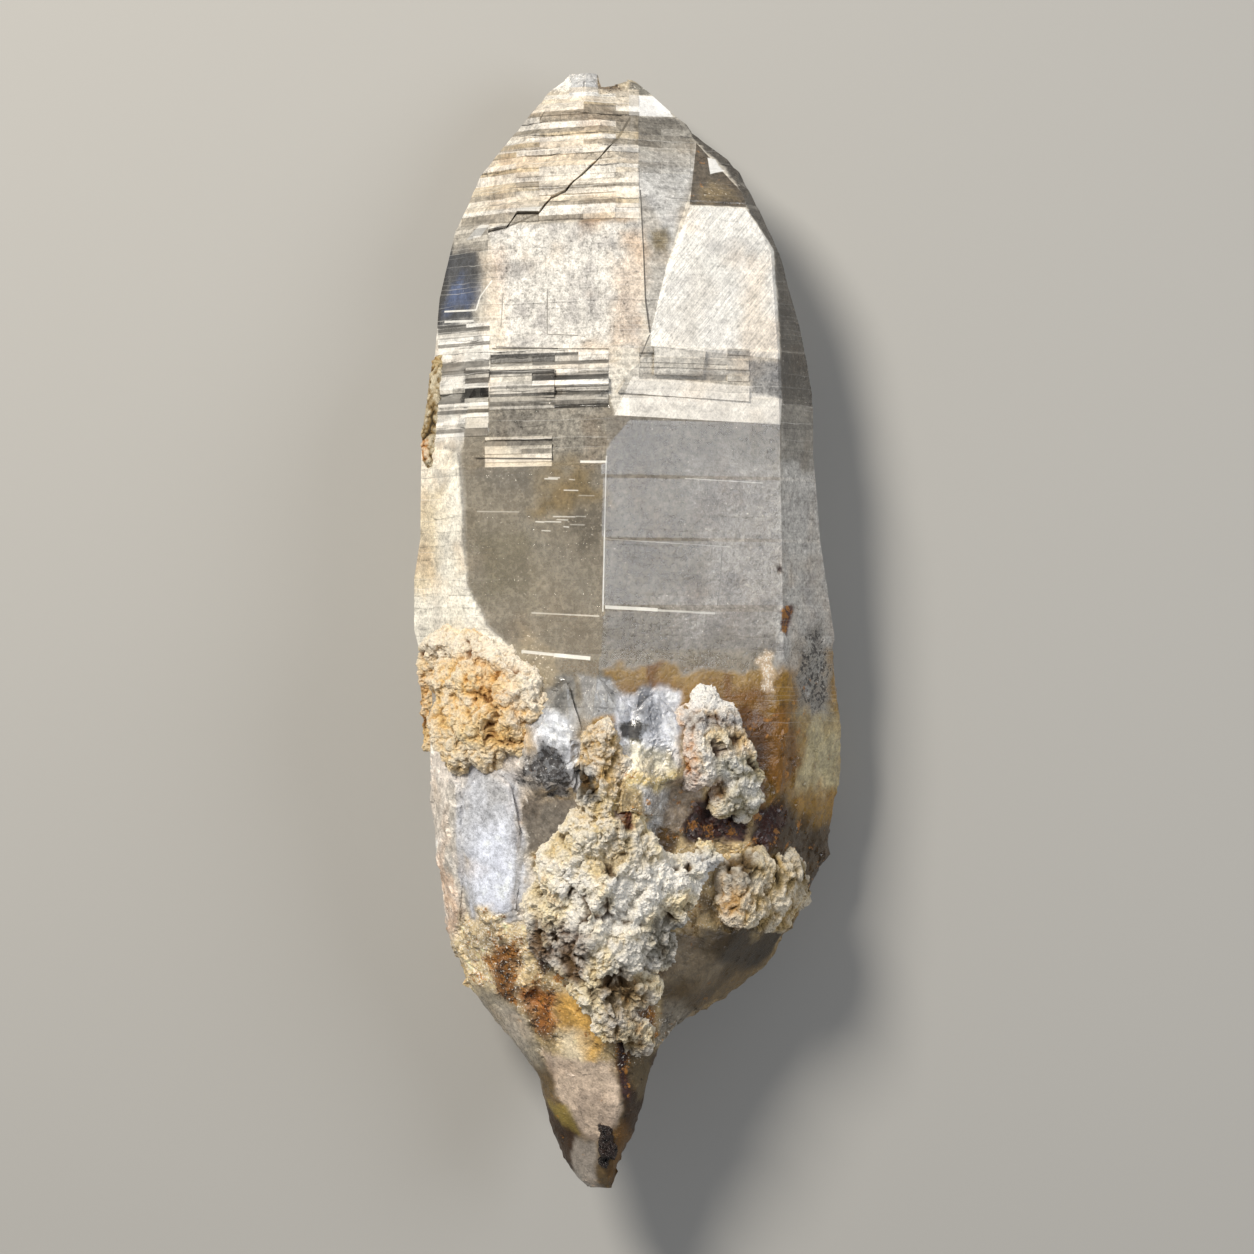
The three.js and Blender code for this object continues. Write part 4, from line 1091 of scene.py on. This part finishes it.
def speck_node(tree, specks, blotch):
    """Dark dots, in patches where specks is high."""
    dots = tree.nodes.new("ShaderNodeTexVoronoi")
    dots.inputs["Scale"].default_value = 1.0
    tree.links.new(stretched(tree, DOT_SPACING), dots.inputs["Vector"])
    dot = remap(tree, dots.outputs["Distance"], *DOT_EDGE)
    return times(tree, patches(tree, specks, blotch, edge=0.4), dot)


def quartz_material():
    material, tree, shader = new_material("clear_quartz")
    links = tree.links
    rough, strata, hatch, specks, _ = attribute(tree, "finish")
    frost, rust, dark, crumb, _ = attribute(tree, "stain")
    _, _, _, clearness, colour = attribute(tree, "tint")

    fade = noise_node(tree, (3.4, 1.1, 3.4), detail=2.0)
    wave = times(tree, fade, 0.5)
    thick_tone, thick_parting = strata_node(tree, wave, pitch=0.62, length=4.6, seed=3.0)
    # the partings of the thin stack become painted highlight lines
    thin_tone, ledge_highlight_line = strata_node(tree, wave, pitch=0.4, length=3.4, seed=8.0)
    scratches = noise_node(tree, (2.6, 0.14, 2.6), turn=52, detail=2.0)
    fine = noise_node(tree, 0.5, detail=4.0, harsh=0.75)
    grit = noise_node(tree, 0.17, detail=1.0, low=0.25, high=0.82)
    blotch = noise_node(tree, 1.2, turn=15, detail=4.0, harsh=0.7)

    # thin ledges: darker strips and dark partings that come and go
    thick = weighted(tree, (thick_tone, 0.5), (thick_parting, 0.75))
    ledge_share = times(tree, strata, weighted(tree, (fade, 1.0), start=0.2))
    ledge_dark = times(tree, weighted(tree, (thick, 1.0), (thin_tone, 0.45), start=-0.34), ledge_share)
    slant = times(tree, weighted(tree, (scratches, 0.34), start=-0.17), hatch)
    frosting = times(tree, weighted(tree, (fine, 0.7), (grit, 0.34), start=-0.55), frost)
    shade = weighted(tree, (ledge_dark, -1.0), (slant, -1.0), (frosting, 1.0), (grit, 0.1), start=0.95)

    # fine white lines along the ledges as painted highlights, rust, dark and white patches, and dark dots
    rust_patch = patches(tree, rust, blotch, edge=0.14)
    dark_patch = patches(tree, dark, fine, edge=0.16)
    crumb_patch = times(tree, patches(tree, crumb, grit, edge=0.1), remap(tree, fine, 0.35, 0.6))
    speck = speck_node(tree, specks, blotch)
    shown = scaled_colour(tree, colour, shade)
    for share, laid in (
        (times(tree, ledge_highlight_line, ledge_share), LEDGE_HIGHLIGHT_WHITE),
        (times(tree, rust_patch, 0.85), mix_colour(tree, fine, *RUST)),
        (times(tree, dark_patch, 0.85), HOLLOW_DARK),
        (times(tree, crumb_patch, 0.85), GRIT_WHITE),
        (times(tree, speck, 0.75), SPECK_DARK),
    ):
        shown = mix_colour(tree, share, shown, laid)
    links.new(shown, shader.inputs["Base Color"])

    # dirt, white grit and dots let no light through
    covered = larger(tree, larger(tree, rust_patch, dark_patch), larger(tree, crumb_patch, speck))
    veiled = times(tree, times(tree, fine, frost), 0.3)
    clear = minus(tree, minus(tree, clearness, veiled), covered)
    links.new(larger(tree, clear, 0.0), shader.inputs["Transmission Weight"])

    rougher = weighted(tree, (rough, 1.0), (covered, 0.35), (fine, 0.14), start=-0.07)
    links.new(larger(tree, rougher, 0.02), shader.inputs["Roughness"])

    grain = times(tree, weighted(tree, (fine, 1.0), (grit, 0.6)), rough)
    relief = weighted(tree, (ledge_dark, -0.9), (slant, 1.0), (grain, 1.2))
    bump_into(tree, shader, relief, strength=0.7, distance=0.12)

    shader.inputs["IOR"].default_value = QUARTZ_IOR
    absorb = tree.nodes.new("ShaderNodeVolumeAbsorption")
    absorb.inputs["Color"].default_value = ABSORPTION_COLOUR
    absorb.inputs["Density"].default_value = ABSORPTION_DENSITY
    links.new(absorb.outputs[0], tree.nodes["Material Output"].inputs["Volume"])
    return material


def crust_material(name, roughness):
    material, tree, shader = new_material(name)
    _, _, _, wear, colour = attribute(tree, "tint")
    grain = noise_node(tree, 0.24, detail=6.0, harsh=0.7)
    blotch = noise_node(tree, 0.8, detail=5.0, harsh=0.7)
    shown = scaled_colour(tree, colour, weighted(tree, (grain, 0.6), start=0.68))
    stained = times(tree, patches(tree, wear, blotch, edge=0.5), 0.6)
    shown = mix_colour(tree, stained, shown, mix_colour(tree, grain, *CRUST_STAIN))
    tree.links.new(shown, shader.inputs["Base Color"])
    tree.links.new(weighted(tree, (grain, -0.25), start=roughness), shader.inputs["Roughness"])
    bump_into(tree, shader, grain, strength=0.8, distance=0.14)
    return material


def floor_material():
    material, _, shader = new_material("pale_floor")
    shader.inputs["Base Color"].default_value = (*srgb(FLOOR_COLOUR), 1)
    shader.inputs["Roughness"].default_value = 0.8
    return material


# Studio

def build_floor():
    size, drop = FLOOR_HALF_SIZE * MM, FLOOR_DROP * MM
    mesh = bpy.data.meshes.new("floor")
    corners = [(-size, -size, -drop), (size, -size, -drop), (size, size, -drop), (-size, size, -drop)]
    mesh.from_pydata(corners, [], [(0, 1, 2, 3)])
    mesh.materials.append(floor_material())
    new_object("floor", mesh)


def add_camera():
    data = bpy.data.cameras.new("camera")
    data.lens, data.sensor_width = LENS_MM, SENSOR_MM
    distance = PHOTO_PIXELS * PIXEL_SIZE * LENS_MM / SENSOR_MM
    camera = new_object("camera", data)
    camera.location = [place * MM for place in (*VIEW_CENTRE, FOCUS_HEIGHT + distance)]
    bpy.context.scene.camera = camera


def add_area_light(name, place, size, power, colour):
    data = bpy.data.lights.new(name, "AREA")
    data.shape, data.size, data.energy, data.color = "DISK", size * MM, power, colour
    light = new_object(name, data)
    light.location = Vector(place) * MM
    light.rotation_euler = (Vector(LIGHT_AIM) * MM - light.location).to_track_quat("-Z", "Y").to_euler()


def light_studio():
    for name, facts in LIGHTS.items():
        add_area_light(name, **facts)
    world = bpy.data.worlds.new("studio")
    world.use_nodes = True
    background = world.node_tree.nodes["Background"]
    background.inputs["Color"].default_value = SKY_COLOUR
    background.inputs["Strength"].default_value = SKY_STRENGTH
    bpy.context.scene.world = world
    bpy.context.scene.view_settings.view_transform = "Standard"


def build_quartz():
    ledge_sets = [Ledges(LEDGE_SEED + i, **facts) for i, facts in enumerate(LEDGES.values())]
    mesh = quartz_mesh(ledge_sets)
    dress_quartz(mesh, ledge_sets)
    shape_quartz(mesh, ledge_sets)
    mesh.set_sharp_from_angle(angle=math.radians(SHARP_DEGREES))
    return finished_piece(mesh, mesh.name, quartz_material(), "clear_quartz", "quartz_crystal")


# Crusts: how each packed lump becomes crumbly. voxel is the mesh fineness, gap and sink say how near to the
# quartz its skin is drawn in and how deep. Each grain is a size, a height and a stretch along y, sharp is
# the height of its splintered facets. The tones run from the painted shade of the pits over the middle to the
# painted highlight of the peaks.
CRUSTS = {
    "upper_left_crust": dict(
        slot="orange_crust", voxel=0.14, seed=211, roughness=0.9, gap=0.75, sink=0.5, sharp=0.5,
        grains=((2.4, 0.6, 1.0), (0.9, 0.4, 1.0), (0.4, 0.26, 1.0)),
        pit_shade="8a5a24", middle="edc98c", peak_highlight="fdf5e4",
        stains_and_shade=(
            zone([(-20, -3), (-13, -4), (-12, -12), (-20, -12)], "f4cf8a", soft=2, warp=1.6, share=0.5),
            zone([(-15, -2), (-10, -3), (-9.6, -8), (-14.5, -7)], "e6b470", soft=1.6, warp=1.8, share=0.45),
            zone([(-19.5, 1), (-6.5, -1), (-6, -9), (-9.5, -6), (-12, -2.6), (-19.5, -3.2)], "f6eddc",
                 soft=1.2, warp=1.4, share=0.75),
            zone([(-18, -9), (-14, -8), (-11, -12), (-17, -13)], "e8d6b4", soft=1.4, warp=1.6, share=0.55),
            zone([(-20, -4), (-17.5, -4), (-17.6, -9), (-20, -9)], "d9b07a", soft=1.2, warp=1.4, share=0.6),
        )),
    "central_crust": dict(
        slot="cream_crust", voxel=0.15, seed=223, roughness=1.0, gap=0.75, sink=0.5, sharp=0.75,
        grains=((2.6, 0.75, 1.25), (1.0, 0.45, 1.0), (0.45, 0.25, 1.0)),
        pit_shade="624824", middle="efdfba", peak_highlight="fffaf0",
        stains_and_shade=(
            zone([(-4.4, -7.6), (-0.4, -7.6), (0.4, -17), (-5, -17)], "c0943a", soft=1.0, warp=1.2,
                 share=0.7),
            zone([(-5, -13.5), (1, -14), (3, -19), (-6, -20)], "dcc68e", soft=1.4, warp=1.5, share=0.6),
            zone([(-8, -20), (-2, -22.4), (9, -18.6), (8.4, -22), (2, -25.4), (-7, -28.4)], "fffdf8",
                 soft=1.4, warp=1.6, share=0.75),
            zone([(-2, -17), (3, -17.4), (2, -21), (-2, -21)], "b09c78", soft=1.2, warp=1.4, share=0.5),
            zone([(-8.8, -25.6), (-5, -26.2), (-3.2, -27), (-4.4, -31), (-9, -30)], "5a3413", soft=0.9,
                 warp=1.3, share=0.85),
            # painted shade: a dark grey-blue patch where the crust lies in shade
            zone([(1.6, -25.4), (4, -24.8), (6, -26), (5.4, -30), (2, -30.8), (0.6, -28)], "33363b",
                 soft=1.3, warp=1.5, share=0.75),
            zone([(-1.2, -15.8), (0.6, -15.8), (0.4, -17.6), (-0.8, -17.5)], "5f2c10", soft=0.4, warp=0.6),
            zone([(-2, -27), (1, -28), (2, -31), (-2, -32)], "d8d4cb", soft=1.2, warp=1.4, share=0.7),
            zone([(-2.4, -31), (3, -31), (3, -40), (-2, -40)], "70501f", soft=1.4, warp=1.5, share=0.75),
            zone([(-4.5, -12), (-3, -12), (-2.6, -15), (-5, -15)], "1f1a16", soft=0.6, warp=0.9, share=0.9),
            zone([(5, -19.4), (9, -18.4), (9, -22), (6, -22)], "cfcfce", soft=1, warp=1.2, share=0.6),
        )),
    "right_crust": dict(
        slot="pale_crust", voxel=0.13, seed=227, roughness=0.8, gap=0.75, sink=0.5, sharp=0.5,
        grains=((2.6, 0.65, 1.0), (1.1, 0.35, 1.0), (0.45, 0.18, 1.0)),
        pit_shade="4a2c0a", middle="dfc294", peak_highlight="fffdf8",
        stains_and_shade=(
            zone([(4, -6), (6.4, -6.5), (6.6, -14.6), (4, -14.6)], "c27f36", soft=1.2, warp=1.3, share=0.75),
            zone([(4.6, -4), (9.4, -4.4), (9.8, -7.2), (5.4, -7.4)], "fbfaf6", soft=0.8, warp=1.0,
                 share=0.85),
            zone([(5.6, -12.4), (9, -13.2), (9, -14.8), (5, -15)], "a8692a", soft=0.6, warp=1.0, share=0.75),
            zone([(6.4, -9.2), (9.4, -9), (9.4, -13), (6.8, -13.4)], "efe9de", soft=1, warp=1.2, share=0.7),
            zone([(4.8, -7.4), (10.6, -7.6), (10.8, -8.8), (5, -8.9)], "5a3609", soft=0.7, warp=1.2,
                 share=0.95),
            zone([(7.8, -11), (12.6, -11), (12.4, -17), (8, -17)], "96937a", soft=1.2, warp=1.3, share=0.75),
        )),
    "lower_right_crust": dict(
        slot="cream_crust", voxel=0.13, seed=229, roughness=0.8, gap=0.75, sink=0.5, sharp=0.5,
        grains=((2.0, 0.85, 1.7), (0.9, 0.4, 1.2), (0.42, 0.18, 1.0)),
        pit_shade="2e1f0a", middle="c2a66f", peak_highlight="fdf6e6",
        stains_and_shade=(
            zone([(8, -20), (11, -20), (10.4, -28), (8, -28)], "c08e50", soft=1.2, warp=1.3, share=0.55),
            zone([(8.2, -19.4), (12.4, -19.4), (11, -23), (8.6, -23.6)], "33240f", soft=1.0, warp=1.2,
                 share=0.75),
            zone([(14.4, -20), (17.6, -21), (17, -25), (14.8, -24)], "8c7a58", soft=1.2, warp=1.2,
                 share=0.6),
        )),
    "left_rim_crust": dict(
        slot="golden_crust", voxel=0.1, seed=233, roughness=0.9, gap=0.4, sink=0.12, sharp=0.15,
        grains=((0.8, 0.22, 1.0), (0.4, 0.14, 1.0)),
        pit_shade="2b200c", middle="8c7243", peak_highlight="efe6cc",
        stains_and_shade=(zone([(-19.4, 15), (-17.9, 15), (-17.9, 17), (-19.4, 17)], "d08a3f", warp=0.4, share=0.8),)),
    "tail_iron_oxide": dict(
        slot="iron_oxide", voxel=0.09, seed=239, roughness=0.4, gap=0.6, sink=0.3, sharp=0.25,
        grains=((0.9, 0.3, 1.0), (0.35, 0.14, 1.0)),
        pit_shade="050303", middle="150d0b", peak_highlight="3f302a", stains_and_shade=()),
}
# How much of each kind of crust is stained.
STAINED = {
    "orange_crust": 0.24, "cream_crust": 0.34, "pale_crust": 0.25, "golden_crust": 0.3, "iron_oxide": 0.0}
# A point of a crust that is nearer to the quartz than this is taken to be this far from it.
LEAST_DISTANCE = 0.01
# Grains: how far their rows wander, as height and size, how far from its middle a grain reaches, the height
# at which a grain meets the old surface, and in how many steps their heights differ.
GRAIN_WANDER = (0.35, 1.0)
GRAIN_REACH = 0.85
GRAIN_ROOT = 0.75
GRAIN_STEPS = 97
# Splinters, as height, size and seed.
LARGE_SPLINTERS = (0.5, 1.3, 41)
MIDDLE_SPLINTERS = (0.35, 0.6, 43)
SMALL_SPLINTERS = (0.2, 0.3, 47)
# Level of a crust's surface: its scale and its middle. Its colour strays from it by noise, as height, size
# and seed, and turns to the painted shade of the pits and the painted highlight of the peaks over these
# levels, up to these shares.
LEVEL_SCALE = 1.5
LEVEL_MIDDLE = 0.72
LEVEL_STRAY = (0.12, 0.8, 71)
PIT_SHADE_LEVELS = (0.56, 0.12)
PIT_SHADE_SHARE = 0.92
PEAK_HIGHLIGHT_LEVELS = (0.5, 1.0)
PEAK_HIGHLIGHT_SHARE = 0.65
# Clouds of stain, as size, seed and octaves, and how much red, green and blue they take away.
STAIN_CLOUDS = (2.4, 101, 5)
STAIN_LOSS = (0.02, 0.09, 0.28)
STAIN_LEAST = 0.4
# Ragged edges of the coloured zones of a crust.
EDGE_SEED = 81
EDGE_SIZE = 2.2


def sink_into_quartz(bm, quartz, gap, sink):
    """Carries the underside of a crust through the narrow gap and into the quartz that it grew on."""
    for v in bm.verts:
        place, _, _, distance = quartz.find_nearest(v.co)
        if distance < gap:
            v.co += (place - v.co) * ((distance + sink) / max(distance, LEAST_DISTANCE))


def with_modifiers(mesh, *modifiers):
    """The mesh that a list of (kind, settings) makes of a mesh."""
    carrier = new_object("carrier", mesh)
    for kind, settings in modifiers:
        modifier = carrier.modifiers.new(kind, kind)
        for key, value in settings.items():
            setattr(modifier, key, value)
    graph = bpy.context.evaluated_depsgraph_get()
    made = bpy.data.meshes.new_from_object(carrier.evaluated_get(graph))
    bpy.data.objects.remove(carrier)
    return made


def grains_at(places, grains, seed):
    """Height of the rounded grains on a crust at each place."""
    rise = np.zeros(len(places))
    for k, (size, height, stretch) in enumerate(grains):
        nearest, key, _ = cell_noise(places / np.array([1, stretch, 1]), size, seed + 10 * k)
        dome = np.sqrt(np.clip(1 - (nearest / GRAIN_REACH) ** 2, 0, 1))
        rise += height * (dome - GRAIN_ROOT) * (0.5 + (key % GRAIN_STEPS) / GRAIN_STEPS)
    return rise


def splinters_at(places, facts, height, size, seed):
    return facts["sharp"] * height * chipped(places, size, facts["seed"] + seed)


def crumble(mesh, facts):
    """Grows grains and splinters on a crust, and gives back how high each point stands, 0 to 1."""
    places = vertex_places(mesh)
    normals = rows_of(mesh.vertices, "normal", 3).astype(float)
    seed = facts["seed"]
    wander, size = GRAIN_WANDER
    warped = places + wander * np.stack([cloud_noise(places, size, seed + k) for k in (1, 2, 3)], axis=1)
    rise = grains_at(warped, facts["grains"], seed)
    splinters = splinters_at(warped, facts, *LARGE_SPLINTERS)
    for kind in (MIDDLE_SPLINTERS, SMALL_SPLINTERS):
        splinters += splinters_at(places, facts, *kind)
    set_places(mesh, inside_box(places + normals * (rise + splinters)[:, None]))
    tallest = sum(height for _, height, _ in facts["grains"])
    return np.clip((rise + 0.5 * splinters) / tallest * LEVEL_SCALE + LEVEL_MIDDLE, 0, 1)


def dress_crust(mesh, facts, level):
    places, _ = corner_places(mesh)
    seed = facts["seed"]
    height, size, stray_seed = LEVEL_STRAY
    level = level[corner_points(mesh)] + height * cloud_noise(places, size, seed + stray_seed)
    wander = wander_at(places, seed + EDGE_SEED, EDGE_SIZE)
    tint, _ = paint(places, facts["stains_and_shade"], dict(tint=facts["middle"]), wander)
    # painted shade in the pits and painted highlight on the peaks, by the height of the surface
    tint += (srgb(facts["pit_shade"]) - tint) * smooth_step(*PIT_SHADE_LEVELS, level)[:, None] * PIT_SHADE_SHARE
    tint += (srgb(facts["peak_highlight"]) - tint) * smooth_step(*PEAK_HIGHLIGHT_LEVELS, level)[:, None] * PEAK_HIGHLIGHT_SHARE
    size, stain_seed, octaves = STAIN_CLOUDS
    stain = smooth_step(0.0, 0.5, cloud_noise(places, size, seed + stain_seed, octaves))
    tint *= 1 - stain[:, None] * np.array(STAIN_LOSS)
    wear = STAINED[facts["slot"]] * (STAIN_LEAST + stain)
    set_corner_values(mesh, "tint", np.clip(tint, 0, 1), wear)


def build_crust(name, quartz):
    facts = CRUSTS[name]
    bm = packed_copy(name)
    sink_into_quartz(bm, quartz, facts["gap"], facts["sink"])
    mesh = bpy.data.meshes.new(name + "_surface")
    bm.to_mesh(mesh)
    bm.free()
    mesh = with_modifiers(
        mesh,
        ("REMESH", dict(mode="VOXEL", voxel_size=facts["voxel"])),
        ("SMOOTH", dict(factor=0.5, iterations=12)),
        ("TRIANGULATE", {}),
    )
    level = crumble(mesh, facts)
    dress_crust(mesh, facts, level)
    material = crust_material(facts["slot"] + "_" + name, facts["roughness"])
    return finished_piece(mesh, name + "_surface", material, facts["slot"], name)


def build_crusts(quartz_surface):
    places = vertex_places(quartz_surface.data) / MM
    triangles = rows_of(quartz_surface.data.polygons, "vertices", 3, np.int32)
    quartz = BVHTree.FromPolygons(places.tolist(), triangles.tolist())
    for name in CRUSTS:
        build_crust(name, quartz)


add_camera()
light_studio()
build_floor()
quartz_surface = build_quartz()
build_crusts(quartz_surface)
